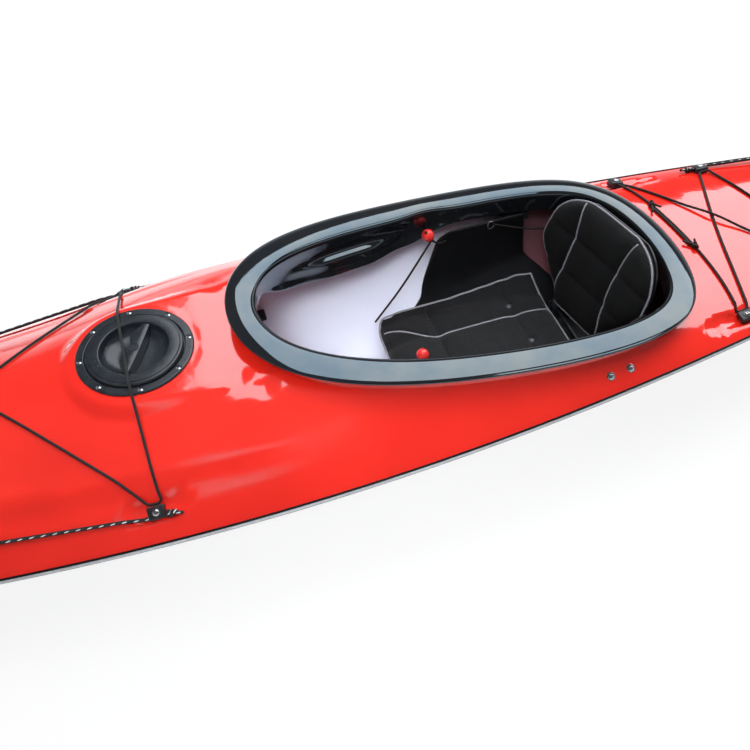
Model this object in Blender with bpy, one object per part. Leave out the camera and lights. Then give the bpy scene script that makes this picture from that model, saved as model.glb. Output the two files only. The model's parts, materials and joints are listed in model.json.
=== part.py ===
"""Sit-in touring kayak: hull, deck, cockpit, padded seat, round deck hatch and deck lines.

Metres. +X runs to the bow, +Y to port and +Z up. The origin is under the middle of the
kayak's length, on the surface that its flat keel panel rests on.
"""
import math

import bmesh
import bpy
from mathutils import Matrix, Vector
from mathutils.bvhtree import BVHTree
from mathutils.geometry import delaunay_2d_cdt

# Driving dimensions of the hull
HULL_LENGTH = 4.30
HALF_BEAM = 0.309
WIDEST_X = 0.17
BOW_FINENESS = 1.5
STERN_FINENESS = 1.88
TIP_HALF_WIDTH = 0.012
WALL = 0.005
SHEER_HEIGHT = 0.197
SHEER_SLOPE = 0.021
BOW_RISE = 0.20
BOW_RISE_START = 0.60
STERN_RISE = 0.09
STERN_RISE_START = 0.95
RISE_POWER = 2.4
KEEL_FLAT_END = 0.80
KEEL_FLAT_HALF = 0.130
KEEL_FLAT_POWER = 4.0
END_ROCKER = 0.070
STEM_LENGTH = 0.30
STEM_DEPTH = 0.022
CHINE_POWER = 1.05
HULL_STATIONS = 20
STEM_STATIONS = 4
CHINE_STEPS = 7

# Driving dimensions of the deck
FORE_CAMBER = 0.128
AFT_CAMBER = 0.022
BOW_CAMBER = 0.045
FORE_CROWN_POWER = 2.6
AFT_CROWN_POWER = 3.4
BOW_CROWN_POWER = 1.75
BOW_CROWN_START = 0.30
BOW_CROWN_END = 0.62
END_CROWN_POWER = 1.8
DECK_COLUMNS = (0.0, 0.30, 0.56, 0.78, 0.93, 1.0)

# Driving dimensions of the cockpit
COCKPIT_X = -0.165
COCKPIT_HALF_LENGTH = 0.43
COCKPIT_HALF_WIDTH = 0.265
COCKPIT_EGG_X = 0.021
COCKPIT_EGG_TIP = -0.010
COCKPIT_EGG_Y = -0.010
COCKPIT_SHOULDER = 0.016
COAMING_HEIGHT = 0.284
COAMING_PITCH = 0.111
COAMING_END_LIFT = 0.10
COAMING_SIDE_LIFT = 0.156
COAMING_STEPS = 42
LIP_WIDTH = 0.049
LIP_HOOK = 0.010
LIP_CROWN = 0.008
LIP_SHELL = 0.004
HOLE_INSET = 0.044
RISER_INSET = 0.030
RISER_FOOT = 0.018
RIM_WALL_DEPTH = 0.036
BRACE_FLOOR = 0.215
BRACE_LEAN = 0.012

# Driving dimensions of the round deck hatch
HATCH_X = 0.4287
HATCH_STEPS = 28
HATCH_HEIGHT = 0.3207
HATCH_TILT = 0.034
HATCH_RADIUS = 0.100
HATCH_FLANGE = 0.004
HATCH_THROAT = 0.0785
HATCH_THROAT_DEPTH = 0.026
HATCH_SCREW_CIRCLE = 0.0925
PLATEAU_MARGIN = 0.006
LID_RADIUS = 0.0830
LID_CROWN = 0.0095
LID_SHELL = 0.003
BOWL_RADIUS = 0.0555
BOWL_DEPTH = 0.0225
GRIP_LENGTH = 0.112
GRIP_WIDTH = 0.013
GRIP_BOSS = 0.0150
GRIP_WAVE = 0.006
GRIP_HEADING = math.radians(65.0)
SCREW_TURN = math.radians(11.0)
GASKET_HEIGHT = 0.0014

# Driving dimensions of the seat
CUSHION_HEIGHT = 0.042
CUSHION_FRONT = 1.22
CUSHION_EDGE = 0.008
CUSHION_CLEARANCE = 0.0014
PAN_FLOOR = 0.034
PAN_SHELL = 0.004
PAN_HALF_FLOOR = 0.112
PAN_MARGIN = 0.0030
WING_INSET = 0.073
WING_HALF = COCKPIT_HALF_WIDTH - WING_INSET
WING_TOP = 0.230
BACK_SETBACK = 0.180
BACK_PIVOT_X = COCKPIT_X - COCKPIT_HALF_LENGTH + BACK_SETBACK
SEAT_REAR = BACK_PIVOT_X + 0.015
SEAT_LENGTH = 0.372
SEAT_FRONT = SEAT_REAR + SEAT_LENGTH
CUSHION_SIDE_GAP = 0.029
CUSHION_HALF_WIDTH = WING_HALF - CUSHION_SIDE_GAP
PAN_FRONT = SEAT_FRONT - 0.017
PAN_REAR = BACK_PIVOT_X - 0.053
WING_FOOT_FRONT = SEAT_FRONT - 0.090
WING_TOP_FRONT = SEAT_FRONT - 0.164
WING_TOP_REAR = BACK_PIVOT_X + 0.027
PIPING_Y = 0.080
SEAM_FRONT_X = SEAT_FRONT - 0.118
SEAM_REAR_X = SEAT_FRONT - 0.290
BACK_PIVOT_Z = 0.056
BACK_LEAN = math.radians(19.0)
BACK_BOTTOM = 0.026
BACK_HEIGHT = 0.230
BACK_SIDE_GAP = 0.020
BACK_HALF_WIDTH = WING_HALF - BACK_SIDE_GAP
BACK_FOOT_HALF = 0.090
BACK_WRAP = 0.018
BACK_ARCH = 0.028
BACK_PAD = 0.034
BACK_SHELL = 0.004
BACK_CHANNELS = (0.36, 0.68)
PIN_RADIUS = 0.003
KNUCKLE_RADIUS = 0.008
HINGE_Y = 0.075
KNUCKLE_HALF = 0.009
TONGUE_BACK = -0.0180
TONGUE_FACE = -0.0132
EAR_THICKNESS = 0.004

# Driving dimensions of the foot braces
RAIL_START = 0.190
RAIL_END = 0.610
RAIL_Z = 0.105
RAIL_HEIGHT = 0.024
RAIL_DEPTH = 0.012
RAIL_CHAMFER = 0.002
PEDAL_X = 0.400
PEDAL_WIDTH = 0.080
PEDAL_OFFSET = 0.014
PEDAL_HEIGHT = 0.105
PEDAL_SHELL = 0.012
FORE_BULKHEAD_STATION = 14
AFT_BULKHEAD_STATION = 6
BULKHEAD_THICKNESS = 0.016

# Driving dimensions of the deck fittings and lines
BLOCK_LENGTH = 0.028
BLOCK_WIDTH = 0.022
BLOCK_BORE_Y = 0.0064
BLOCK_BORE_Z = 0.0052
BLOCK_HEIGHT = 0.011
BOW_LINE_END = HULL_LENGTH / 2.0 - 0.470
STERN_LINE_END = 0.530 - HULL_LENGTH / 2.0
BLOCK_SIDES = (-1, 1, -1, 1)
BOW_BLOCKS = (
    (0.450, 0.865, "aft_starboard"),
    (0.450, 0.865, "aft_port"),
    (0.905, 0.800, "fore_starboard"),
    (0.905, 0.800, "fore_port"),
)
STERN_BLOCKS = (
    (-0.597, 0.865, "fore_starboard"),
    (-0.635, 0.865, "fore_port"),
    (-0.785, 0.865, "aft_starboard"),
    (-0.855, 0.865, "aft_port"),
)
BUNGEE_RADIUS = 0.0024
LINE_RADIUS = 0.0030
ROUTE_SLACK = 0.0009
BALL_SLACK = 0.0004
KNOT_SWELL = 2.7
STERN_KNOTS = ((-0.621, -0.106), (-0.644, 0.034))
SEAT_CORD_RADIUS = 0.0021
BALL_RADIUS = 0.0130
BALL_KNOT = 0.0046
BALL_KNOT_REACH = 0.0100
STARBOARD_BALL = (SEAT_FRONT - 0.135, 0.080 - COCKPIT_HALF_WIDTH, 0.2450)
STARBOARD_BALL_AXIS = (0.35, 0.20, 0.76)
PORT_BALL = (SEAT_FRONT - 0.061, -0.013, 0.0932)
PORT_BALL_AXIS = (-0.30, -0.85, 0.30)
LIFT_ANCHOR_Z = PAN_FLOOR + 0.0395
RING_X = WING_TOP_REAR + 0.087
RING_Z = 0.2160
RING_RADIUS = 0.0090
RING_WIRE = 0.0016
TOGGLE_X = HULL_LENGTH / 2.0 - 0.250
TOGGLE_LENGTH = 0.105
TOGGLE_RADIUS = 0.0105
STRAP_REACH = 0.085

# Driving dimensions of the screws and the gunwale trim
SCREW_HEAD = 0.0052
SCREW_HEAD_HEIGHT = 0.0026
SCREW_SHANK = 0.0022
HATCH_SCREW_HEAD = 0.0046
HATCH_SCREW_HEIGHT = 0.0018
HATCH_SCREW_LENGTH = 0.012
BLOCK_SCREW_LENGTH = 0.018
SIDE_SCREW_HEAD = 0.0066
SIDE_SCREW_SHANK = 0.0026
SIDE_SCREW_LENGTH = 0.017
SIDE_SCREW_X = (WING_TOP_REAR + 0.048, WING_TOP_REAR + 0.008)
SIDE_SCREW_Z = SHEER_HEIGHT + 0.0300
TRIM_HEIGHT = 0.012
TRIM_DEPTH = 0.0032
INSERT_HEIGHT = 0.0066
INSERT_SEAT = 0.0016

# Clearances
GAP = 0.0003
HOLE_GAP = 0.0004
RUNNING_GAP = 0.0005
CORD_GAP = 0.0006
BITE = 0.0004

COLOURS = {
    "deck_red": ((0.72, 0.035, 0.02), 0.12, 0.0),
    "hull_white": ((0.80, 0.80, 0.84), 0.22, 0.0),
    "gloss_black": ((0.010, 0.011, 0.013), 0.10, 0.0),
    "matte_black": ((0.020, 0.021, 0.023), 0.45, 0.0),
    "pad_black": ((0.016, 0.016, 0.018), 0.85, 0.0),
    "cord_black": ((0.014, 0.014, 0.015), 0.80, 0.0),
    "steel": ((0.62, 0.62, 0.63), 0.22, 1.0),
    "trim_silver": ((0.50, 0.50, 0.51), 0.35, 0.0),
    "foam_grey": ((0.10, 0.10, 0.11), 0.90, 0.0),
    "ball_red": ((0.75, 0.03, 0.03), 0.30, 0.0),
    "rubber_black": ((0.018, 0.018, 0.018), 0.70, 0.0),
}


def clear_scene():
    """Start from an empty scene."""
    for existing in list(bpy.data.objects):
        bpy.data.objects.remove(existing, do_unlink=True)


def limit(value, low=0.0, high=1.0):
    """Hold a value between two others."""
    return max(low, min(high, value))


def blend(a, b, t):
    """Go from a to b as t goes from 0 to 1."""
    return a + (b - a) * t


def ease(low, high, value):
    """Rise smoothly from 0 at low to 1 at high."""
    t = limit((value - low) / (high - low))
    return t * t * (3.0 - 2.0 * t)


def material(name):
    """Make, once, the material that several sub-parts share the look of."""
    colour, roughness, metallic = COLOURS[name]
    made = bpy.data.materials.new(name)
    made.use_nodes = True
    shader = made.node_tree.nodes["Principled BSDF"]
    shader.inputs["Base Color"].default_value = (*colour, 1.0)
    shader.inputs["Roughness"].default_value = roughness
    shader.inputs["Metallic"].default_value = metallic
    made.diffuse_color = (*colour, 1.0)
    return made


def add_object(name, mesh, look):
    """Put a mesh in the scene as a named sub-part with its own material."""
    part = bpy.data.objects.new(name, mesh)
    bpy.context.scene.collection.objects.link(part)
    part.data.materials.append(material(look))
    return part


def move_origin(name, place):
    """Put a moving piece's origin on its joint's axis, with the piece left where it is."""
    part = bpy.data.objects[name]
    part.data.transform(Matrix.Translation(-Vector(place)))
    part.matrix_world = Matrix.Translation(place)


def mesh_from(name, bm, angle=35.0):
    """Turn a bmesh into a mesh with outward faces and smooth round stretches."""
    bmesh.ops.recalc_face_normals(bm, faces=bm.faces)
    mesh = bpy.data.meshes.new(name)
    bm.to_mesh(mesh)
    bm.free()
    mesh.shade_smooth()
    mesh.set_sharp_from_angle(angle=math.radians(angle))
    return mesh


def loft_into(bm, rings, closed=False):
    """Skin rings of points; an open run gets flat end caps, a closed one joins up."""
    rows = [[bm.verts.new(point) for point in ring] for ring in rings]
    count = len(rows[0])
    pairs = list(zip(rows, rows[1:]))
    if closed:
        pairs.append((rows[-1], rows[0]))
    for first, second in pairs:
        for k in range(count):
            n = (k + 1) % count
            bm.faces.new((first[k], first[n], second[n], second[k]))
    if not closed:
        bm.faces.new(rows[0])
        bm.faces.new(rows[-1])
    return rows


def loft(name, rings, look, closed=False, angle=35.0):
    """Make one sub-part from a run of rings."""
    bm = bmesh.new()
    loft_into(bm, rings, closed)
    return add_object(name, mesh_from(name, bm, angle), look)


def turn_into(bm, profile, frame, steps=24):
    """Spin a closed profile of (radius, height) points round the frame's Z axis."""
    columns = []
    for k in range(steps):
        angle = 2.0 * math.pi * k / steps
        columns.append((math.cos(angle), math.sin(angle)))
    rows = []
    for radius, height in profile:
        if radius == 0.0:
            rows.append([bm.verts.new(frame @ Vector((0.0, 0.0, height)))])
        else:
            ring = [bm.verts.new(frame @ Vector((radius * c, radius * s, height))) for c, s in columns]
            rows.append(ring)
    count = len(rows)
    ends_on_axis = len(rows[0]) == 1 and len(rows[-1]) == 1
    for i in range(count - 1 if ends_on_axis else count):
        first = rows[i]
        second = rows[(i + 1) % count]
        for k in range(steps):
            n = (k + 1) % steps
            if len(first) == 1:
                bm.faces.new((first[0], second[k], second[n]))
            elif len(second) == 1:
                bm.faces.new((first[k], second[0], first[n]))
            else:
                bm.faces.new((first[k], second[k], second[n], first[n]))


def box_into(bm, frame, low, high, chamfer=0.0):
    """Add a box between two corners of a frame, with its edges chamfered."""
    made = bmesh.ops.create_cube(bm, size=1.0)["verts"]
    for vert in made:
        share = vert.co + Vector((0.5, 0.5, 0.5))
        vert.co = Vector([blend(low[i], high[i], share[i]) for i in range(3)])
    if chamfer > 0.0:
        edges = {edge for vert in made for edge in vert.link_edges}
        result = bmesh.ops.bevel(bm, geom=list(edges), offset=chamfer, segments=1, affect="EDGES")
        cut = {vert for face in result["faces"] for vert in face.verts}
        made = list(cut | {vert for vert in made if vert.is_valid})
    for vert in made:
        vert.co = frame @ vert.co
    if frame.determinant() < 0.0:
        faces = {face for vert in made for face in vert.link_faces}
        bmesh.ops.reverse_faces(bm, faces=list(faces))


def boolean_into(target, cutters, operation):
    """Join meshes to a part one by one, or cut them from it together, and bake the result."""
    groups = [[cutter] for cutter in cutters] if operation == "UNION" else [cutters]
    for group in groups:
        bm = bmesh.new()
        for cutter in group:
            bm.from_mesh(cutter)
        mesh = bpy.data.meshes.new("tool")
        bm.to_mesh(mesh)
        bm.free()
        tool = bpy.data.objects.new("tool", mesh)
        bpy.context.scene.collection.objects.link(tool)
        modifier = target.modifiers.new("solid", "BOOLEAN")
        modifier.operation = operation
        modifier.solver = "EXACT"
        modifier.object = tool
        bpy.context.view_layer.update()
        graph = bpy.context.evaluated_depsgraph_get()
        baked = bpy.data.meshes.new_from_object(target.evaluated_get(graph))
        target.modifiers.clear()
        target.data = baked
        bpy.data.objects.remove(tool, do_unlink=True)


def cylinder_mesh(frame, radius, low, high, steps=8):
    """Make a plain cylinder along a frame's Z axis, for a bore or a shank."""
    bm = bmesh.new()
    turn_into(bm, ((0.0, low), (radius, low), (radius, high), (0.0, high)), frame, steps)
    return mesh_from("bore", bm)


def axis_frame(origin, direction, hint=Vector((1.0, 0.0, 0.0))):
    """Make a frame at a point whose Z axis runs along a direction."""
    z = Vector(direction).normalized()
    x = (hint - z * hint.dot(z)).normalized()
    y = z.cross(x)
    frame = Matrix((x, y, z)).transposed().to_4x4()
    frame.translation = origin
    return frame


def smooth_route(points, spacing):
    """Read points at an even spacing from a smooth curve through the route's own points."""
    points = [Vector(point) for point in points]
    first = points[0] * 2.0 - points[1]
    last = points[-1] * 2.0 - points[-2]
    knots = [first] + points + [last]
    fine = []
    for i in range(1, len(knots) - 2):
        a, b, c, d = knots[i - 1:i + 3]
        for step in range(12):
            t = step / 12.0
            fine.append(0.5 * ((2.0 * b) + (c - a) * t + (2.0 * a - 5.0 * b + 4.0 * c - d) * t * t
                               + (3.0 * b - a - 3.0 * c + d) * t * t * t))
    fine.append(points[-1])
    lengths = [0.0]
    for i in range(1, len(fine)):
        lengths.append(lengths[-1] + (fine[i] - fine[i - 1]).length)
    count = max(3, round(lengths[-1] / spacing))
    route = []
    j = 0
    for i in range(count + 1):
        want = lengths[-1] * i / count
        while j < len(fine) - 2 and lengths[j + 1] < want:
            j += 1
        span = max(lengths[j + 1] - lengths[j], 1e-9)
        route.append(fine[j].lerp(fine[j + 1], limit((want - lengths[j]) / span)))
    return route


def cord(name, routes, radius, look, swells=None):
    """Make a cord of one or more runs as one curve; a swell is a knot along a run."""
    curve = bpy.data.curves.new(name, "CURVE")
    curve.dimensions = "3D"
    curve.bevel_depth = radius
    curve.bevel_resolution = 2
    curve.use_fill_caps = True
    for number, route in enumerate(routes):
        spline = curve.splines.new("POLY")
        spline.points.add(len(route) - 1)
        for i, point in enumerate(route):
            spline.points[i].co = (*point, 1.0)
            spline.points[i].radius = swells[number][i] if swells else 1.0
    return add_object(name, curve, look)


def half_beam(x):
    """Half the width of the hull at the sheer line."""
    bow = x > WIDEST_X
    reach = HULL_LENGTH / 2.0 - WIDEST_X if bow else HULL_LENGTH / 2.0 + WIDEST_X
    power = BOW_FINENESS if bow else STERN_FINENESS
    along = abs(x - WIDEST_X) / reach
    return TIP_HALF_WIDTH + (HALF_BEAM - TIP_HALF_WIDTH) * max(0.0, 1.0 - along * along) ** power


def sheer(x):
    """Height of the line where hull and deck meet."""
    half = HULL_LENGTH / 2.0
    bow = BOW_RISE * limit((x - BOW_RISE_START) / (half - BOW_RISE_START)) ** RISE_POWER
    stern = STERN_RISE * limit((-x - STERN_RISE_START) / (half - STERN_RISE_START)) ** RISE_POWER
    return SHEER_HEIGHT - SHEER_SLOPE * x + bow + stern


def keel(x):
    """Height of the keel line: a flat panel, then rocker, then the round stem."""
    half = HULL_LENGTH / 2.0
    out = limit((abs(x) - KEEL_FLAT_END) / (half - KEEL_FLAT_END))
    rocker = END_ROCKER * out * out
    stem = limit((abs(x) - half + STEM_LENGTH) / STEM_LENGTH)
    rise = 1.0 - math.sqrt(max(0.0, 1.0 - stem * stem))
    return rocker + (sheer(x) - STEM_DEPTH - rocker) * rise


def hull_section(x, inset):
    """One side of a hull section, from the sheer down to the edge of the keel panel."""
    half = half_beam(x) - inset
    floor = keel(x) + inset
    top = sheer(x)
    flat = KEEL_FLAT_HALF * (half / HALF_BEAM) ** KEEL_FLAT_POWER
    power = 2.0 / CHINE_POWER
    points = []
    for k in range(CHINE_STEPS + 1):
        angle = 0.5 * math.pi * (1.0 - k / CHINE_STEPS)
        across = math.sin(angle) ** power if k < CHINE_STEPS else 0.0
        up = 1.0 - max(0.0, math.cos(angle)) ** power if k > 0 else 1.0
        points.append((flat + (half - flat) * across, floor + (top - floor) * up))
    return points


def hull_inside(x, z):
    """Half the hull's inner width at a place along it and a height above its floor."""
    points = hull_section(x, WALL)
    if z >= points[0][1]:
        return points[0][0]
    for (y1, z1), (y2, z2) in zip(points, points[1:]):
        if z2 <= z <= z1:
            return blend(y2, y1, (z - z2) / max(z1 - z2, 1e-9))
    return points[-1][0]


def stations():
    """Places along the hull where its sections stand, closer together in the stems."""
    start = HULL_LENGTH / 2.0 - STEM_LENGTH
    middle = [blend(-start, start, i / HULL_STATIONS) for i in range(HULL_STATIONS + 1)]
    stem_turns = [0.5 * math.pi * k / STEM_STATIONS for k in range(1, STEM_STATIONS + 1)]
    stem = [start + STEM_LENGTH * math.sin(turn) for turn in stem_turns]
    return [-x for x in reversed(stem)] + middle + stem


STATIONS = stations()


def cockpit_point(angle, inset=0.0):
    """A point of the cockpit's egg outline in plan, moved in square to the outline."""
    c, s = math.cos(angle), math.sin(angle)
    x = COCKPIT_HALF_LENGTH * c + COCKPIT_EGG_X * (math.cos(2 * angle) - 1.0)
    x += COCKPIT_EGG_TIP * (math.cos(3 * angle) - c)
    y = COCKPIT_HALF_WIDTH * s + COCKPIT_EGG_Y * math.sin(2 * angle) + COCKPIT_SHOULDER * math.sin(3 * angle)
    dx = -COCKPIT_HALF_LENGTH * s - 2.0 * COCKPIT_EGG_X * math.sin(2 * angle)
    dx -= COCKPIT_EGG_TIP * (3.0 * math.sin(3 * angle) - s)
    dy = COCKPIT_HALF_WIDTH * c + 2.0 * COCKPIT_EGG_Y * math.cos(2 * angle)
    dy += 3.0 * COCKPIT_SHOULDER * math.cos(3 * angle)
    length = math.hypot(dx, dy)
    return COCKPIT_X + x - inset * dy / length, y + inset * dx / length


COCKPIT_ANGLES = [2.0 * math.pi * k / COAMING_STEPS for k in range(COAMING_STEPS)]
COCKPIT_OUTLINE = [cockpit_point(2.0 * math.pi * k / 240.0) for k in range(240)]


def coaming_height(x, y):
    """Height of the coaming's lip, which climbs to the bow and at both ends."""
    along = x - COCKPIT_X
    sweep = COAMING_PITCH * along + COAMING_END_LIFT * along * along
    return COAMING_HEIGHT + sweep + COAMING_SIDE_LIFT * y * y


def inside_loop(x, y, loop):
    """True if a point in plan lies inside a closed loop of points."""
    inside = False
    for i in range(len(loop)):
        x1, y1 = loop[i]
        x2, y2 = loop[i - 1]
        if (y1 > y) != (y2 > y) and x < (x2 - x1) * (y - y1) / (y2 - y1) + x1:
            inside = not inside
    return inside


def cockpit_distance(x, y):
    """Distance in plan from the coaming's outer edge, negative inside it."""
    best = 1e9
    for i in range(len(COCKPIT_OUTLINE)):
        x1, y1 = COCKPIT_OUTLINE[i - 1]
        x2, y2 = COCKPIT_OUTLINE[i]
        dx, dy = x2 - x1, y2 - y1
        t = limit(((x - x1) * dx + (y - y1) * dy) / (dx * dx + dy * dy))
        best = min(best, math.hypot(x - x1 - t * dx, y - y1 - t * dy))
    return -best if inside_loop(x, y, COCKPIT_OUTLINE) else best


def plateau(x):
    """Height of the flat that the round hatch seats on."""
    return HATCH_HEIGHT + math.tan(HATCH_TILT) * (x - HATCH_X)


def deck_crown(x, y):
    """Height of the deck's outer surface before the cockpit and the hatch shape it."""
    half = HULL_LENGTH / 2.0
    camber = blend(AFT_CAMBER, FORE_CAMBER, ease(-0.75, 0.10, x))
    camber = blend(camber, BOW_CAMBER, ease(0.55, half, x))
    power = blend(AFT_CROWN_POWER, FORE_CROWN_POWER, ease(-0.60, 0.0, x))
    power = blend(power, BOW_CROWN_POWER, ease(BOW_CROWN_START, BOW_CROWN_END, x))
    power = blend(power, END_CROWN_POWER, ease(0.8, half, abs(x)))
    across = limit(abs(y) / half_beam(x))
    return sheer(x) + WALL + camber * (1.0 - across ** power)


def deck_top(x, y):
    """Height of the deck's outer surface."""
    height = deck_crown(x, y)
    rear = COCKPIT_X + COCKPIT_HALF_LENGTH - HOLE_INSET
    away = math.hypot(max(x - HATCH_X, rear - x, 0.0), y)
    seat = HATCH_RADIUS + PLATEAU_MARGIN
    height = blend(plateau(x), height, ease(seat, seat + 0.030, away))
    distance = cockpit_distance(x, y)
    if distance > 0.06:
        return height
    lip = coaming_height(x, y)
    over = max(0.0, height - (lip - LIP_HOOK - 0.005))
    height -= over * (1.0 - ease(0.0, 0.05, distance))
    flange = lip - LIP_SHELL
    return blend(flange, height, ease(-RISER_INSET, -RISER_FOOT, distance))


def bvh_of(part):
    """Make a search tree of a part's faces, for seating other pieces on them."""
    bm = bmesh.new()
    bm.from_mesh(part.data)
    tree = BVHTree.FromBMesh(bm)
    bm.free()
    return tree


def make_hull():
    """The hull shell: an open boat with a flat keel panel, solid in its two tips."""
    bm = bmesh.new()
    outer = []
    inner = {}
    for i, x in enumerate(STATIONS):
        side = hull_section(x, 0.0)
        ring = [(x, y, z) for y, z in side] + [(x, -y, z) for y, z in reversed(side)]
        outer.append([bm.verts.new(point) for point in ring])
        if STEM_STATIONS <= i < len(STATIONS) - STEM_STATIONS:
            side = hull_section(x, WALL)
            ring = [(x, y, z) for y, z in side] + [(x, -y, z) for y, z in reversed(side)]
            inner[i] = [bm.verts.new(point) for point in ring]
    last = len(outer[0]) - 1
    for i in range(len(outer) - 1):
        for k in range(last):
            bm.faces.new((outer[i][k], outer[i + 1][k], outer[i + 1][k + 1], outer[i][k + 1]))
    first_inner, last_inner = min(inner), max(inner)
    for i in range(first_inner, last_inner):
        for k in range(last):
            bm.faces.new((inner[i][k], inner[i][k + 1], inner[i + 1][k + 1], inner[i + 1][k]))
        for k in (0, last):
            bm.faces.new((outer[i][k], outer[i + 1][k], inner[i + 1][k], inner[i][k]))
    runs = ((first_inner, range(0, first_inner)), (last_inner, range(last_inner, len(outer) - 1)))
    for edge, steps in runs:
        bm.faces.new(inner[edge])
        for i in steps:
            a, b = outer[i], outer[i + 1]
            face = [a[0], b[0], b[last], a[last]]
            if i + 1 == edge:
                face = [a[0], b[0], inner[edge][0], inner[edge][last], b[last], a[last]]
            elif i == edge:
                face = [a[0], b[0], b[last], a[last], inner[edge][last], inner[edge][0]]
            bm.faces.new(face)
    for end in (outer[0], outer[-1]):
        bm.faces.new(end)
    return add_object("hull_shell", mesh_from("hull_shell", bm), "hull_white")


def circle_points(radius, steps):
    """Points of a circle round the hatch, in plan."""
    angles = [2.0 * math.pi * k / steps for k in range(steps)]
    return [(HATCH_X + radius * math.cos(a), radius * math.sin(a)) for a in angles]


def deck_plan():
    """Points, loops of edges and the hole outlines of the deck in plan."""
    points = []
    edges = []

    def add_loop(loop):
        start = len(points)
        points.extend(loop)
        edges.extend((start + i, start + (i + 1) % len(loop)) for i in range(len(loop)))

    rim = [(x, half_beam(x)) for x in STATIONS] + [(x, -half_beam(x)) for x in reversed(STATIONS)]
    add_loop(rim)
    cockpit_loops = []
    for inset in (HOLE_INSET, RISER_INSET, RISER_FOOT, 0.0, -0.026):
        loop = [cockpit_point(angle, inset) for angle in COCKPIT_ANGLES]
        cockpit_loops.append(loop)
        add_loop(loop)
    hatch_hole = circle_points(HATCH_THROAT + LID_SHELL + HOLE_GAP, HATCH_STEPS)
    add_loop(hatch_hole)
    add_loop(circle_points(HATCH_RADIUS + PLATEAU_MARGIN, HATCH_STEPS))
    add_loop(circle_points(HATCH_RADIUS + PLATEAU_MARGIN + 0.016, HATCH_STEPS))
    for i, x in enumerate(STATIONS):
        row = [side * share * half_beam(x) for share in DECK_COLUMNS[1:-1] for side in (-1, 1)] + [0.0]
        if half_beam(x) < 0.04:
            row = [0.0]
        keep = i in (STEM_STATIONS + FORE_BULKHEAD_STATION, STEM_STATIONS + AFT_BULKHEAD_STATION)
        for y in row:
            clear = cockpit_distance(x, y) > 0.042 and math.hypot(x - HATCH_X, y) > HATCH_RADIUS + 0.045
            if clear:
                points.append((x, y))
        if keep:
            ordered = sorted(row)
            base = len(points) - len(row)
            places = {points[base + k][1]: base + k for k in range(len(row))}
            chain = [places[y] for y in ordered]
            edges.extend(zip(chain, chain[1:]))
    return points, edges, rim, cockpit_loops[0], hatch_hole


def make_deck():
    """The deck shell: one skin with its camber, the cockpit flange and the hatch flat."""
    points, edges, rim, cockpit_hole, hatch_hole = deck_plan()
    result = delaunay_2d_cdt([Vector(point) for point in points], edges, [], 0, 1e-7)
    plan, faces = result[0], result[2]
    bm = bmesh.new()
    top = [bm.verts.new((p.x, p.y, deck_top(p.x, p.y))) for p in plan]
    skin = WALL - GAP
    bottom = [bm.verts.new(v.co - Vector((0.0, 0.0, skin))) for v in top]
    border = {}
    for face in faces:
        cx = sum(plan[i].x for i in face) / len(face)
        cy = sum(plan[i].y for i in face) / len(face)
        if not inside_loop(cx, cy, rim):
            continue
        if inside_loop(cx, cy, cockpit_hole) or inside_loop(cx, cy, hatch_hole):
            continue
        bm.faces.new([top[i] for i in face])
        bm.faces.new([bottom[i] for i in reversed(face)])
        for k in range(len(face)):
            a, b = face[k], face[(k + 1) % len(face)]
            if (b, a) in border:
                del border[(b, a)]
            else:
                border[(a, b)] = True
    for a, b in border:
        bm.faces.new((top[b], top[a], bottom[a], bottom[b]))
    for vert in list(bm.verts):
        if not vert.link_faces:
            bm.verts.remove(vert)
    return add_object("deck_shell", mesh_from("deck_shell", bm), "deck_red")


def trim_rings(side, section):
    """Rings of a strip that runs along one gunwale, from its (out, up) section."""
    rings = []
    for i in range(1, len(STATIONS) - 1):
        x = STATIONS[i]
        before, after = STATIONS[i - 1], STATIONS[i + 1]
        run = Vector((after - before, half_beam(after) - half_beam(before))).normalized()
        out = Vector((-run.y, run.x))
        ring = []
        for u, v in section:
            y = half_beam(x) + out.y * u
            ring.append((x + out.x * u, side * y, sheer(x) + v))
        rings.append(ring)
    return rings


def make_trim(side, word):
    """The gunwale trim: a black channel over the hull and deck joint, and its bright insert."""
    low, high = -TRIM_HEIGHT / 2.0, TRIM_HEIGHT / 2.0
    near, far = GAP + 0.0002, GAP + TRIM_DEPTH
    slot = INSERT_HEIGHT / 2.0 + GAP
    seat = far - INSERT_SEAT
    channel = (
        (near, low),
        (far, low),
        (far, -slot),
        (seat, -slot),
        (seat, slot),
        (far, slot),
        (far, high),
        (near, high),
    )
    loft("gunwale_trim_" + word, trim_rings(side, channel), "rubber_black")
    proud = far + 0.0006
    half = INSERT_HEIGHT / 2.0
    insert = ((seat + GAP, -half), (proud, -half), (proud, half), (seat + GAP, half))
    loft("gunwale_insert_" + word, trim_rings(side, insert), "trim_silver")


def brace_share(x, y):
    """How far a stretch of the coaming's inner wall reaches down as a thigh brace."""
    along = ease(-0.24, -0.12, x) * (1.0 - ease(0.17, 0.26, x))
    return along * ease(0.07, 0.13, abs(y))


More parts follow.
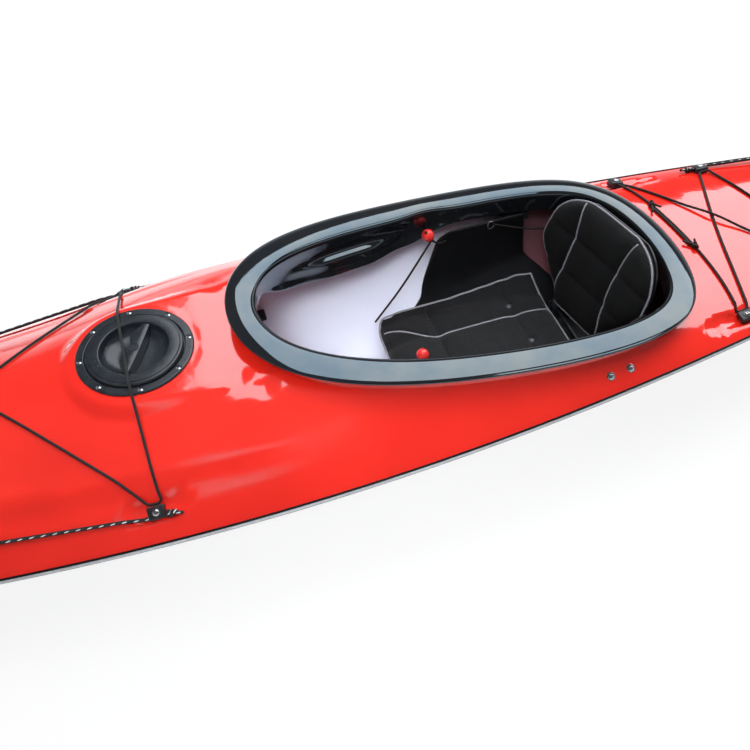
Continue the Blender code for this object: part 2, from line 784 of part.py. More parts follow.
def make_coaming():
    """The cockpit coaming: a hooked lip, its inner wall and the two thigh braces in one."""
    rings = []
    for angle in COCKPIT_ANGLES:
        x, y = cockpit_point(angle, LIP_WIDTH)
        share = brace_share(x, y)
        deep = blend(RIM_WALL_DEPTH, coaming_height(x, y) - BRACE_FLOOR, share)
        lean = BRACE_LEAN * share
        wall = HOLE_INSET + GAP
        section = (
            (0.0030, -LIP_HOOK),
            (0.0, -0.0030),
            (0.0022, 0.0028),
            (0.0105, LIP_CROWN - 0.0014),
            (0.0240, LIP_CROWN),
            (0.0370, LIP_CROWN - 0.0016),
            (LIP_WIDTH - 0.0036, 0.0010),
            (LIP_WIDTH, -0.0080),
            (wall + LIP_SHELL - lean, -deep),
            (wall - lean, -deep),
            (wall, -0.0120),
            (wall, GAP - LIP_SHELL),
            (RISER_INSET, GAP - LIP_SHELL),
            (0.0240, LIP_CROWN - LIP_SHELL),
            (0.0080, LIP_CROWN - LIP_SHELL - 0.0016),
            (0.0040, -0.0030),
        )
        ring = []
        for inset, up in section:
            px, py = cockpit_point(angle, inset)
            ring.append((px, py, coaming_height(px, py) + up))
        rings.append(ring)
    return loft("cockpit_coaming", rings, "gloss_black", closed=True, angle=50.0)


def hatch_frame():
    """The frame of the round hatch: its origin on the flat, its Z axis square to it."""
    normal = Vector((-math.sin(HATCH_TILT), 0.0, math.cos(HATCH_TILT)))
    return axis_frame(Vector((HATCH_X, 0.0, HATCH_HEIGHT + GAP)), normal)


def screw_into(bm, frame, head, height, shank, length, steps=8):
    """A button-head screw whose head's underside lies on the frame's XY plane."""
    profile = (
        (0.0, -length),
        (shank, -length),
        (shank, 0.0),
        (head, 0.0),
        (head * 0.80, height * 0.8),
        (head * 0.42, height),
        (0.0, height * 0.4),
    )
    turn_into(bm, profile, frame, steps)


def make_hatch(drills):
    """The round hatch: screwed ring, gasket and the twist lid with its bowl and grip."""
    frame = hatch_frame()
    ring = (
        (HATCH_THROAT, 0.0009),
        (HATCH_THROAT, -HATCH_THROAT_DEPTH),
        (HATCH_THROAT + LID_SHELL, -HATCH_THROAT_DEPTH),
        (HATCH_THROAT + LID_SHELL, 0.0),
        (HATCH_RADIUS - 0.0012, 0.0),
        (HATCH_RADIUS, 0.0012),
        (HATCH_RADIUS - 0.0010, HATCH_FLANGE - 0.0008),
        (HATCH_RADIUS - 0.0030, HATCH_FLANGE),
        (LID_RADIUS + 0.0020, HATCH_FLANGE),
        (LID_RADIUS + 0.0012, 0.0009),
    )
    bm = bmesh.new()
    turn_into(bm, ring, frame, HATCH_STEPS)
    flange = add_object("hatch_ring", mesh_from("hatch_ring", bm), "matte_black")
    seat = 0.0009 + GAP
    gasket = (
        (LID_RADIUS - 0.0036, seat),
        (LID_RADIUS - 0.0006, seat),
        (LID_RADIUS - 0.0006, seat + GASKET_HEIGHT),
        (LID_RADIUS - 0.0036, seat + GASKET_HEIGHT),
    )
    bm = bmesh.new()
    turn_into(bm, gasket, frame, HATCH_STEPS)
    add_object("hatch_gasket", mesh_from("hatch_gasket", bm), "rubber_black")

    screws = []
    for k in range(8):
        angle = 2.0 * math.pi * k / 8.0
        across = Vector((math.cos(angle), math.sin(angle), 0.0)) * HATCH_SCREW_CIRCLE
        place = across + Vector((0.0, 0.0, HATCH_FLANGE - BITE))
        own = frame @ Matrix.Translation(place) @ Matrix.Rotation(SCREW_TURN, 4, "Z")
        bm = bmesh.new()
        screw_into(bm, own, HATCH_SCREW_HEAD, HATCH_SCREW_HEIGHT, SCREW_SHANK, HATCH_SCREW_LENGTH)
        screws.append(mesh_from("screw", bm))
        drills.append(cylinder_mesh(own, SCREW_SHANK + HOLE_GAP, -0.024, 0.004, 6))
    boolean_into(flange, screws, "UNION")

    base = seat + GASKET_HEIGHT + GAP
    plug = HATCH_THROAT - 0.0010
    floor = base + LID_CROWN - BOWL_DEPTH
    crown = base + LID_CROWN
    inner = plug - LID_SHELL
    profile = (
        (0.0, floor - LID_SHELL),
        (BOWL_RADIUS - 0.006, floor - LID_SHELL),
        (BOWL_RADIUS + LID_SHELL, crown - 0.008),
        (inner, crown - 0.008),
        (inner, base - 0.012),
        (plug, base - 0.012),
        (plug, base),
        (LID_RADIUS, base),
        (LID_RADIUS, base + 0.0035),
        (LID_RADIUS - 0.0022, base + 0.0060),
        (LID_RADIUS - 0.0080, crown - 0.0008),
        (LID_RADIUS - 0.0100, crown - 0.0022),
        (LID_RADIUS - 0.0120, crown - 0.0004),
        (BOWL_RADIUS + 0.0045, crown),
        (BOWL_RADIUS + 0.0010, crown - 0.0018),
        (BOWL_RADIUS - 0.0055, floor),
        (0.0, floor),
    )
    bm = bmesh.new()
    turn_into(bm, profile, frame, HATCH_STEPS)
    lid = add_object("hatch_lid", mesh_from("hatch_lid", bm, 30.0), "matte_black")
    half = []
    steps = 14
    for k in range(steps + 1):
        s = 2.0 * k / steps - 1.0
        along = s * GRIP_LENGTH / 2.0
        wave = GRIP_WAVE * math.sin(math.pi * s)
        boss = GRIP_BOSS * math.sqrt(max(0.0, 1.0 - (along / GRIP_BOSS) ** 2))
        half.append((along, wave, max(GRIP_WIDTH / 2.0, boss)))
    outline = [(a, w + h) for a, w, h in half] + [(a, w - h) for a, w, h in reversed(half)]
    turned = frame @ Matrix.Rotation(GRIP_HEADING, 4, "Z")
    bm = bmesh.new()
    rings = []
    for level, inset in ((floor - 0.0015, 0.0), (crown - 0.0035, 0.0), (crown - 0.0012, 0.0014)):
        rings.append([turned @ Vector((a, w * (1.0 - inset / 0.02), level)) for a, w in outline])
    loft_into(bm, rings)
    boolean_into(lid, [mesh_from("grip", bm)], "UNION")
    lid.data.shade_smooth()
    lid.data.set_sharp_from_angle(angle=math.radians(30.0))
    return frame


def seat_frame(tree, x, y, half_length, half_width, heading=None):
    """A frame on a surface, clear by one gap of every facet under a small footprint."""
    point, normal, _, _ = tree.ray_cast(Vector((x, y, 1.0)), Vector((0.0, 0.0, -1.0)))
    hint = heading if heading else Vector((1.0, 0.0, 0.0))
    if y == 0.0:
        normal = Vector((normal.x, 0.0, normal.z)).normalized()
    frame = axis_frame(point, normal, hint)
    high = 0.0
    for i in range(-2, 3):
        for k in range(-2, 3):
            probe = frame @ Vector((half_length * i / 2.0, half_width * k / 2.0, 0.03))
            hit, _, _, _ = tree.ray_cast(probe, -normal)
            if hit:
                high = max(high, (hit - point).dot(normal))
    frame.translation = point + normal * (high + GAP)
    return frame


def make_block(name, x, y, tree, drills, side=0):
    """A cord block screwed to the deck, with its screw joined into it and its line's bore."""
    frame = seat_frame(tree, x, y, BLOCK_LENGTH / 2.0, BLOCK_WIDTH / 2.0)
    low = (-BLOCK_LENGTH / 2.0, -BLOCK_WIDTH / 2.0, 0.0)
    high = (BLOCK_LENGTH / 2.0, BLOCK_WIDTH / 2.0, BLOCK_HEIGHT)
    bm = bmesh.new()
    box_into(bm, frame, low, high, 0.0022)
    part = add_object(name, mesh_from(name, bm), "matte_black")
    own = frame @ Matrix.Translation((0.0, 0.0, BLOCK_HEIGHT - BITE))
    bm = bmesh.new()
    screw_into(bm, own, SCREW_HEAD, SCREW_HEAD_HEIGHT, SCREW_SHANK, BLOCK_SCREW_LENGTH, 6)
    boolean_into(part, [mesh_from("screw", bm)], "UNION")
    if side:
        centre = frame @ Vector((0.0, side * BLOCK_BORE_Y, BLOCK_BORE_Z))
        bore = axis_frame(centre, frame.col[0].xyz, frame.col[2].xyz)
        boolean_into(part, [cylinder_mesh(bore, LINE_RADIUS + HOLE_GAP, -0.02, 0.02)], "DIFFERENCE")
    drills.append(cylinder_mesh(own, SCREW_SHANK + HOLE_GAP, -BLOCK_SCREW_LENGTH - 0.006, 0.0, 6))
    return frame


def make_blocks(word, places, tree, drills):
    """Four cord blocks on the deck edges, by their place along the kayak and their side."""
    frames = []
    for (x, reach, place), side in zip(places, BLOCK_SIDES):
        y = side * reach * half_beam(x)
        frames.append(make_block(f"{word}_block_{place}", x, y, tree, drills, side))
    return frames


def surface_height(tree, x, y, offset):
    """Height of a cord's centre that lies on the deck, the hatch ring or the lid."""
    hit, normal, _, _ = tree.ray_cast(Vector((x, y, 1.0)), Vector((0.0, 0.0, -1.0)))
    if hit is None:
        base = plateau(x)
        steep = 1.0
    else:
        base = hit.z
        steep = max(0.45, normal.z)
    away = math.hypot(x - HATCH_X, y)
    if away < HATCH_RADIUS + 0.004:
        base = plateau(x) + HATCH_FLANGE + 0.0030
    if away < LID_RADIUS + 0.004:
        base = plateau(x) + LID_CROWN + 0.0060
    return base + offset / steep


def taut_run(tree, start, end, radius, bow=0.0):
    """Points of a cord pulled over the deck: straight in plan, held up by what is under it."""
    count = 40
    offset = radius + 0.0019
    run = end - start
    flat = Vector((-run.y, run.x, 0.0)).normalized()
    samples = []
    for k in range(count + 1):
        t = k / count
        place = start.lerp(end, t) + flat * (bow * 4.0 * t * (1.0 - t))
        height = surface_height(tree, place.x, place.y, offset)
        if k in (0, count):
            height = place.z
        samples.append((t, place, height))
    held = []
    for sample in samples:
        while len(held) >= 2:
            t1, _, h1 = held[-2]
            t2, _, h2 = held[-1]
            if (h2 - h1) * (sample[0] - t1) > (sample[2] - h1) * (t2 - t1):
                break
            held.pop()
        held.append(sample)
    lifted = []
    j = 0
    for t, place, _ in samples:
        while j < len(held) - 2 and held[j + 1][0] < t:
            j += 1
        t1, _, h1 = held[j]
        t2, _, h2 = held[j + 1]
        lifted.append(Vector((place.x, place.y, blend(h1, h2, limit((t - t1) / (t2 - t1))))))
    kept = [0, 1] + list(range(2, count - 1, 2)) + [count - 1, count]
    return [lifted[k] for k in kept]


def thin_route(points, slack=ROUTE_SLACK):
    """Leave out the points of a fine route that lie on the line between those kept."""
    first, last = points[0], points[-1]
    run = last - first
    furthest, place = slack, None
    for i in range(1, len(points) - 1):
        share = limit((points[i] - first).dot(run) / max(run.length_squared, 1e-12))
        away = (points[i] - first - run * share).length
        if away > furthest:
            furthest, place = away, i
    if place is None:
        return [first, last]
    return thin_route(points[:place + 1], slack)[:-1] + thin_route(points[place:], slack)


def held_route(points, holds):
    """Smooth a cord's route and thin it, with the places where it is held kept as they are."""
    fine = smooth_route(points, 0.008)
    marks = []
    for hold in holds:
        place = min(range(len(fine)), key=lambda i: (fine[i] - hold).length)
        fine[place] = hold
        marks.append(place)
    route = []
    for start, end in zip([0] + marks, marks + [len(fine) - 1]):
        route.extend(thin_route(fine[start:end + 1])[:-1])
    return route + [fine[-1]]


def block_port(frame, target, radius):
    """The place on a block's side where a cord that heads for a target starts."""
    local = frame.inverted() @ target
    run = Vector((local.x, local.y))
    scale = min(BLOCK_LENGTH / 2.0 / max(abs(run.x), 1e-6), BLOCK_WIDTH / 2.0 / max(abs(run.y), 1e-6))
    run *= scale
    out = run.normalized() * (radius + CORD_GAP)
    return frame @ Vector((run.x + out.x, run.y + out.y, BLOCK_HEIGHT * 0.5))


def through_block(frame, side, forward):
    """Three places along a block's bore, in the running order of the line in it."""
    reach = (BLOCK_LENGTH / 2.0 + 0.003) * (1.0 if forward else -1.0)
    return [frame @ Vector((x, side * BLOCK_BORE_Y, BLOCK_BORE_Z)) for x in (-reach, 0.0, reach)]


def pass_block(frame, side, forward, radius):
    """Three places where a cord lies along a block's inboard side, in its running order."""
    across = BLOCK_WIDTH / 2.0 + radius + CORD_GAP
    toward = -side
    reach = BLOCK_LENGTH * (0.38 if forward else -0.38)
    level = max(BLOCK_HEIGHT * 0.42, radius + CORD_GAP)
    places = ((-reach, across + 0.0014), (0.0, across), (reach, across + 0.0014))
    return [frame @ Vector((x, toward * y, level)) for x, y in places]


def elastic_loop(tree, frames, sides, forward, bows, radius):
    """One elastic cord that starts at a block, is hooked past three more and comes back."""
    first = frames[0]
    passes = zip(frames[1:], sides[1:], forward)
    turns = [pass_block(frame, side, ahead, radius) for frame, side, ahead in passes]
    starts = [block_port(first, turns[0][0], radius)] + [turn[2] for turn in turns]
    ends = [turn[0] for turn in turns] + [block_port(first, turns[-1][2], radius)]
    runs = [taut_run(tree, a, b, radius, bow) for a, b, bow in zip(starts, ends, bows)]
    lift_crossing(runs[1], runs[3], radius)
    route = list(runs[0])
    for turn, run in zip(turns, runs[1:]):
        route.append(turn[1])
        route.extend(run)
    return held_route(route, [turn[1] for turn in turns])


def lift_crossing(under, over, radius):
    """Lift one run of cord where it crosses another, by a smooth hump."""
    fine_under = smooth_route(under, 0.01)
    fine_over = smooth_route(over, 0.01)
    pairs = [(a, b, i, j) for i, a in enumerate(fine_under) for j, b in enumerate(fine_over)]
    best = min(((a.xy - b.xy).length, j, i) for a, b, i, j in pairs)
    centre = fine_over[best[1]]
    over[:] = smooth_route(over, 0.02)
    rise = 2.0 * radius + 0.0030 - (centre.z - fine_under[best[2]].z)
    for i, point in enumerate(over):
        away = (point.xy - centre.xy).length
        over[i] = point + Vector((0.0, 0.0, rise * math.exp(-(away / 0.06) ** 2)))


def tie_knots(route, places, radius):
    """Swell a route into a knot at each place, lifted clear of what it lies on."""
    pitch = 1.8 * radius
    half_lobes = ((0.6, KNOT_SWELL), (1.3, 2.0), (2.0, 1.0))
    lobes = [(-place, swell) for place, swell in reversed(half_lobes)] + [(0.0, 2.1)] + list(half_lobes)
    swell = [1.0] * len(route)
    for place in places:
        best = None
        for i in range(len(route) - 1):
            run = route[i + 1] - route[i]
            share = limit((Vector(place) - route[i].xy).dot(run.xy) / max(run.xy.length_squared, 1e-12))
            spot = route[i] + run * share
            away = (spot.xy - Vector(place)).length
            if best is None or away < best[0]:
                best = (away, i, spot, run.normalized())
        _, i, spot, run = best
        spot = spot + Vector((0.0, 0.0, (KNOT_SWELL - 1.0) * radius))
        before = [k for k in range(i + 1) if (route[k] - spot).length > 3.0 * pitch]
        after = [k for k in range(i + 1, len(route)) if (route[k] - spot).length > 3.0 * pitch]
        knot = [spot + run * (along * pitch) for along, _ in lobes]
        swell = [swell[k] for k in before] + [size for _, size in lobes] + [swell[k] for k in after]
        route = [route[k] for k in before] + knot + [route[k] for k in after]
    return route, swell


def edge_line(tree, frames, sides, end_frame, ahead, radius):
    """A safety line from a block down one side, round an end block and up the other side."""
    halves = []
    holds = []
    for pick in (1, 0):
        passes = [through_block(frame, side, ahead) for frame, side in zip(frames[pick::2], sides[pick::2])]
        side = sides[pick]
        toward = 1.0 if ahead else -1.0
        tail = frames[pick].to_3x3() @ Vector((-toward * 0.024, 0.0, 0.001))
        around = BLOCK_LENGTH / 2.0 + radius + CORD_GAP
        shoulder = BLOCK_WIDTH / 2.0 + radius + CORD_GAP
        level = BLOCK_HEIGHT * 0.5
        flank = end_frame @ Vector((0.0, side * shoulder, level))
        hip = end_frame @ Vector((toward * BLOCK_LENGTH * 0.42, side * (shoulder + 0.0025), level))
        corner = end_frame @ Vector((toward * (around + 0.002), side * shoulder * 0.80, level))
        points = [passes[0][0] + tail]
        targets = [later[0] for later in passes[1:]] + [flank]
        for stop, target in zip(passes, targets):
            points.extend(stop)
            points.extend(taut_run(tree, stop[2], target, radius)[1:-1])
        points.extend((flank, hip, corner))
        halves.append(points)
        holds.append([place for stop in passes for place in stop] + [flank])
    tip = end_frame @ Vector(((1.0 if ahead else -1.0) * (around + 0.004), 0.0, BLOCK_HEIGHT * 0.5))
    return held_route(halves[0] + [tip] + halves[1][::-1], holds[0] + [tip] + holds[1][::-1])


def make_lines(tree, bow, stern, bow_end, stern_end):
    """The elastic deck cords and the safety lines along the deck edges."""
    sides = BLOCK_SIDES
    route = elastic_loop(tree, bow, sides, (True, True, False), (0.0, 0.0, 0.0, 0.0), BUNGEE_RADIUS)
    cord("bow_bungee", [route], BUNGEE_RADIUS, "cord_black")
    route = elastic_loop(tree, stern, sides, (False, False, True), (0.020, 0.010, 0.0, 0.0), BUNGEE_RADIUS)
    route, swell = tie_knots(route, STERN_KNOTS, BUNGEE_RADIUS)
    cord("stern_bungee", [route], BUNGEE_RADIUS, "cord_black", [swell])
    line = edge_line(tree, bow, sides, bow_end, True, LINE_RADIUS)
    cord("bow_safety_line", [line], LINE_RADIUS, "cord_black")
    line = edge_line(tree, stern[2:], sides[2:], stern_end, False, LINE_RADIUS)
    cord("stern_safety_line", [line], LINE_RADIUS, "cord_black")


def make_bulkhead(name, station, top_tree):
    """A foam wall that closes the hull under the deck at one of its stations."""
    x = STATIONS[STEM_STATIONS + station]
    rings = []
    for shift in (-BULKHEAD_THICKNESS / 2.0, BULKHEAD_THICKNESS / 2.0):
        place = x + shift
        side = hull_section(place, WALL + 0.0008)
        ring = [(place, y, z) for y, z in side[1:]] + [(place, -y, z) for y, z in reversed(side[1:])]
        crown = []
        for share in DECK_COLUMNS[-2::-1] + DECK_COLUMNS[1:-1]:
            crown.append(share * half_beam(x))
        signed = [-y for y in crown[:len(DECK_COLUMNS) - 1]] + crown[len(DECK_COLUMNS) - 1:]
        for y in signed:
            hit, normal, _, _ = top_tree.ray_cast(Vector((place, y, 0.12)), Vector((0.0, 0.0, 1.0)))
            ring.append((place, y, hit.z - 0.0009 / max(0.4, abs(normal.z))))
        rings.append(ring)
    return loft(name, rings, "foam_grey")


def pan_side():
    """The seat pan's inner face from its middle out and up one wing, as (across, up)."""
    return [
        (0.0, PAN_FLOOR),
        (PAN_HALF_FLOOR * 0.5, PAN_FLOOR),
        (PAN_HALF_FLOOR, PAN_FLOOR),
        (PAN_HALF_FLOOR + 0.016, PAN_FLOOR + 0.006),
        (WING_HALF - 0.042, PAN_FLOOR + 0.028),
        (WING_HALF - 0.022, PAN_FLOOR + 0.050),
        (WING_HALF - 0.006, PAN_FLOOR + 0.076),
        (WING_HALF, PAN_FLOOR + 0.110),
        (WING_HALF, WING_TOP),
    ]


def pan_half(x, y, z):
    """Half the pan's inner width at a height, held inside the hull."""
    return min(y, hull_inside(x, z - PAN_SHELL) - PAN_SHELL - PAN_MARGIN)


def pan_height(x, y):
    """Height of the pan's inner face at a place in plan."""
    points = [(pan_half(x, across, up), up) for across, up in pan_side()]
    for (y1, z1), (y2, z2) in zip(points, points[1:]):
        if abs(y) <= y2:
            return blend(z1, z2, limit((abs(y) - y1) / max(y2 - y1, 1e-9)))
    return points[-1][1]


def make_seat_pan():
    """The seat pan: a thin moulded bucket with a hip wing on each side."""
    side = pan_side()
    across = [(-y, z) for y, z in reversed(side[1:])] + side
    steps = 6
    bm = bmesh.new()
    rows = []
    for i in range(steps + 1):
        t = i / steps
        row = []
        for y, z in across:
            share = limit((z - PAN_FLOOR) / (WING_TOP - PAN_FLOOR))
            foot = blend(PAN_FRONT, WING_FOOT_FRONT, ease(0.02, 0.30, share))
            front = blend(foot, WING_TOP_FRONT, share ** 0.8)
            rear = blend(PAN_REAR, WING_TOP_REAR, limit(share * 2.2) ** 1.2)
            x = blend(rear, front, t)
            half = pan_half(x, abs(y), z)
            row.append(bm.verts.new((x, math.copysign(half, y) if y else 0.0, z)))
        rows.append(row)
    for first, second in zip(rows, rows[1:]):
        for k in range(len(first) - 1):
            bm.faces.new((first[k], second[k], second[k + 1], first[k + 1]))
    mesh = bpy.data.meshes.new("seat_pan")
    bm.normal_update()
    bm.to_mesh(mesh)
    bm.free()
    mesh.shade_smooth()
    pan = add_object("seat_pan", mesh, "gloss_black")
    shell = pan.modifiers.new("shell", "SOLIDIFY")
    shell.thickness = PAN_SHELL
    shell.offset = -1.0
    return pan


def make_seat_riser():
    """The foam block that carries the pan on the keel panel."""
    top = PAN_FLOOR - PAN_SHELL - GAP
    foot = WALL + GAP
    front = PAN_FRONT - 0.030
    bm = bmesh.new()
    rings = []
    for z in (foot, top):
        ends = [(x, hull_inside(x, z) - 0.030) for x in (SEAT_REAR, front)]
        rear_half, front_half = [min(half, PAN_HALF_FLOOR - 0.012) for _, half in ends]
        corners = ((SEAT_REAR, -rear_half), (front, -front_half), (front, front_half))
        rings.append([(x, y, z) for x, y in corners + ((SEAT_REAR, rear_half),)])
    loft_into(bm, rings)
    return add_object("seat_riser", mesh_from("seat_riser", bm), "foam_grey")


def pad_height(u, v, seams, tufts):
    """Height share of a quilted pad: crowned, drawn in at its seams, edges and tufts."""
    edge = (1.0 - abs(u) ** 5) * (1.0 - abs(v) ** 5)
    height = 0.52 + 0.48 * max(0.0, edge) ** 0.5
    for axis, place, width in seams:
        away = (u if axis == "u" else v) - place
        height -= 0.16 * math.exp(-(away / width) ** 2)
    for tu, tv in tufts:
        height -= 0.18 * math.exp(-((u - tu) ** 2 + (v - tv) ** 2) / 0.012)
    return height


def make_cushion():
    """The seat cushion: nine quilted fields with a raised front and two tufts."""
    centre = 0.5 * (SEAT_FRONT + SEAT_REAR)
    half = 0.5 * (SEAT_FRONT - SEAT_REAR)
    seams = (
        ("v", PIPING_Y / CUSHION_HALF_WIDTH, 0.07),
        ("v", -PIPING_Y / CUSHION_HALF_WIDTH, 0.07),
        ("u", (SEAM_FRONT_X - centre) / half, 0.07),
        ("u", (SEAM_REAR_X - centre) / half, 0.07),
    )
    tufts = ((-0.56, -0.45), (-0.56, 0.28))
    columns, rows_count = 16, 13
    bm = bmesh.new()
    layers = []
    for top in (False, True):
        grid = []
        for i in range(columns + 1):
            u = 2.0 * i / columns - 1.0
            row = []
            for k in range(rows_count + 1):
                v = 2.0 * k / rows_count - 1.0
                tuck = 1.0 if top else 0.975
                x = centre + half * u * (1.0 - 0.045 * abs(v) ** 6) * tuck
                y = CUSHION_HALF_WIDTH * v * (1.0 - 0.06 * abs(u) ** 6) * tuck
                rest = pan_height(x, y) + CUSHION_CLEARANCE
                z = rest
                if top:
                    front = blend(1.0, CUSHION_FRONT, ease(0.35, 1.0, u))
                    z = PAN_FLOOR + CUSHION_HEIGHT * front * pad_height(u, v, seams, tufts)
                    z = max(z, rest + CUSHION_EDGE)
                row.append(bm.verts.new((x, y, z)))
            grid.append(row)
        layers.append(grid)
    bottom, top = layers
    for i in range(columns):
        for k in range(rows_count):
            bm.faces.new((top[i][k], top[i + 1][k], top[i + 1][k + 1], top[i][k + 1]))
            bm.faces.new((bottom[i][k], bottom[i][k + 1], bottom[i + 1][k + 1], bottom[i + 1][k]))
    for i in range(columns):
        for k in (0, rows_count):
            bm.faces.new((bottom[i][k], bottom[i + 1][k], top[i + 1][k], top[i][k]))
    for k in range(rows_count):
        for i in (0, columns):
            bm.faces.new((bottom[i][k], top[i][k], top[i][k + 1], bottom[i][k + 1]))
    return add_object("seat_cushion", mesh_from("seat_cushion", bm, 60.0), "pad_black")


def back_frame():
    """The backrest's frame: origin on its hinge axis, X forward out of the pad, Z up it."""
    return Matrix.Translation((BACK_PIVOT_X, 0.0, BACK_PIVOT_Z)) @ Matrix.Rotation(-BACK_LEAN, 4, "Y")


def back_half_width(t):
    """Half the backrest's width, from its foot (0) to its top (1)."""
    foot = blend(BACK_FOOT_HALF, BACK_HALF_WIDTH, ease(0.0, 0.55, t))
    return foot * (1.0 - 0.20 * ease(0.62, 1.0, t) ** 1.5)


def back_sheet(t, v, depth):
    """A point on the backrest at height share t, width share v and depth from its front."""
    half = back_half_width(t)
    y = half * v
    wrap = BACK_WRAP * abs(v) ** 2.2 * ease(0.0, 0.5, t)
    arch = BACK_ARCH * (1.0 - v * v) * ease(0.75, 1.0, t)
    z = BACK_BOTTOM + BACK_HEIGHT * t + arch
    return Vector((wrap - depth, y, z))


def make_backrest():
    """The backrest: a curved plate with two hinge knuckles, and its quilted pad."""
    frame = back_frame()
    columns, rows_count = 13, 12
    plate_front = -0.012
    pad_back = plate_front + GAP + 0.0013
    seams = (("v", 0.42, 0.09), ("v", -0.42, 0.09))
    bm = bmesh.new()
    layers = []
    for front in (False, True):
        grid = []
        for i in range(rows_count + 1):
            t = i / rows_count
            row = []
            for k in range(columns + 1):
                v = 2.0 * k / columns - 1.0
                tuck = 1.0 if front else 0.96
                depth = -pad_back
                if front:
                    channel = sum(math.exp(-((t - place) / 0.05) ** 2) for place in BACK_CHANNELS)
                    depth -= BACK_PAD * (pad_height(2.0 * t - 1.0, v, seams, ()) - 0.10 * channel)
                elif max(abs(v), abs(2.0 * t - 1.0)) > 0.999:
                    depth -= 0.005
                row.append(bm.verts.new(frame @ back_sheet(t, v * tuck, depth)))
            grid.append(row)
        layers.append(grid)
    rear, front = layers
    for i in range(rows_count):
        for k in range(columns):
            bm.faces.new((front[i][k], front[i][k + 1], front[i + 1][k + 1], front[i + 1][k]))
            bm.faces.new((rear[i][k], rear[i + 1][k], rear[i + 1][k + 1], rear[i][k + 1]))
    for i in range(rows_count):
        for k in (0, columns):
            bm.faces.new((rear[i][k], front[i][k], front[i + 1][k], rear[i + 1][k]))
    for k in range(columns):
        for i in (0, rows_count):
            bm.faces.new((rear[i][k], rear[i][k + 1], front[i][k + 1], front[i][k]))
    add_object("backrest_pad", mesh_from("backrest_pad", bm, 60.0), "pad_black")

    rings = []
    steps = 7
    for i in range(steps + 1):
        t = i / steps
        ring = []
        for depth, order in ((-plate_front, 1), (-plate_front + BACK_SHELL, -1)):
            for k in range(8):
                v = order * (2.0 * k / 7.0 - 1.0)
                ring.append(frame @ back_sheet(t, v * 0.96, depth))
        rings.append(ring)
    bm = bmesh.new()
    loft_into(bm, rings)
    bmesh.ops.triangulate(bm, faces=bm.faces)
    plate = add_object("backrest_plate", mesh_from("backrest_plate", bm), "matte_black")
    knuckles = []
    for side in (-1, 1):
        turned = frame @ Matrix.Rotation(math.radians(-90.0), 4, "X")
        axle = turned @ Matrix.Translation((0.0, 0.0, side * HINGE_Y))
        knuckles.append(cylinder_mesh(axle, KNUCKLE_RADIUS, -KNUCKLE_HALF, KNUCKLE_HALF, 12))
        near, far = side * HINGE_Y - KNUCKLE_HALF, side * HINGE_Y + KNUCKLE_HALF
        foot_low = (TONGUE_BACK, near + 0.0005, -0.0048)
        foot_high = (-0.0026, far - 0.0006, BACK_BOTTOM - 0.0187)
        low = (TONGUE_BACK + 0.0006, near + 0.0012, -0.0031)
        high = (TONGUE_FACE, far - 0.0017, BACK_BOTTOM + 0.0165)
        for low, high in ((foot_low, foot_high), (low, high)):
            bm = bmesh.new()
            box_into(bm, frame, low, high)
            knuckles.append(mesh_from("tongue", bm))
    boolean_into(plate, knuckles, "UNION")
    axle = frame @ Matrix.Rotation(math.radians(-90.0), 4, "X")
    reach = HINGE_Y + KNUCKLE_HALF + RUNNING_GAP + EAR_THICKNESS
    bore = cylinder_mesh(axle, PIN_RADIUS + HOLE_GAP, -reach - 0.01, reach + 0.01, 10)
    boolean_into(plate, [bore], "DIFFERENCE")
    bm = bmesh.new()
    half = reach + 0.003
    turn_into(bm, ((0.0, -half), (PIN_RADIUS, -half), (PIN_RADIUS, half), (0.0, half)), axle, 10)
    add_object("backrest_pin", mesh_from("backrest_pin", bm), "steel")
    bm = bmesh.new()
    foot = PAN_FLOOR + GAP
    low = (BACK_PIVOT_X - 0.012, -reach, foot)
    box_into(bm, Matrix.Identity(4), low, (BACK_PIVOT_X + 0.012, reach, foot + 0.003))
    bracket = add_object("backrest_bracket", mesh_from("backrest_bracket", bm), "matte_black")
    ears = []
    for side in (-1, 1):
        for ear in (-1, 1):
            inner = side * HINGE_Y + ear * (KNUCKLE_HALF + RUNNING_GAP)
            outer = inner + ear * EAR_THICKNESS
            low = (BACK_PIVOT_X - 0.010, min(inner, outer), foot + 0.001)
            high = (BACK_PIVOT_X + 0.010, max(inner, outer), BACK_PIVOT_Z + 0.009)
            bm = bmesh.new()
            box_into(bm, Matrix.Identity(4), low, high)
            ears.append(mesh_from("ear", bm))
    boolean_into(bracket, ears, "UNION")
    boolean_into(bracket, [bore], "DIFFERENCE")
    return frame


def wall_frame(hull_tree, side):
    """A frame on the hull's inner wall: X along the rail, Y into the wall, Z up the wall."""
    spots = []
    high = (0.5 * (RAIL_START + RAIL_END), RAIL_Z + RAIL_HEIGHT)
    for x, z in ((RAIL_START, RAIL_Z), (RAIL_END, RAIL_Z), high):
        hit, _, _, _ = hull_tree.ray_cast(Vector((x, 0.0, z)), Vector((0.0, side, 0.0)))
        spots.append(hit)
    along = (spots[1] - spots[0]).normalized()
    middle = 0.5 * (spots[0] + spots[1])
    normal = along.cross(spots[2] - middle).normalized()
    if normal.y * side < 0.0:
        normal = -normal
    up = along.cross(normal)
    frame = Matrix((along, normal, up if up.z > 0.0 else -up)).transposed().to_4x4()
    frame.translation = middle
    nearest = 1.0
    for i in range(15):
        for z in (-0.5, 0.0, 0.5):
            probe = frame @ Vector(((i / 14.0 - 0.5) * (RAIL_END - RAIL_START), -0.03, z * RAIL_HEIGHT))
            hit, _, _, _ = hull_tree.ray_cast(probe, normal)
            nearest = min(nearest, (hit - middle).dot(normal))
    frame.translation = middle + normal * (nearest - GAP)
    return frame


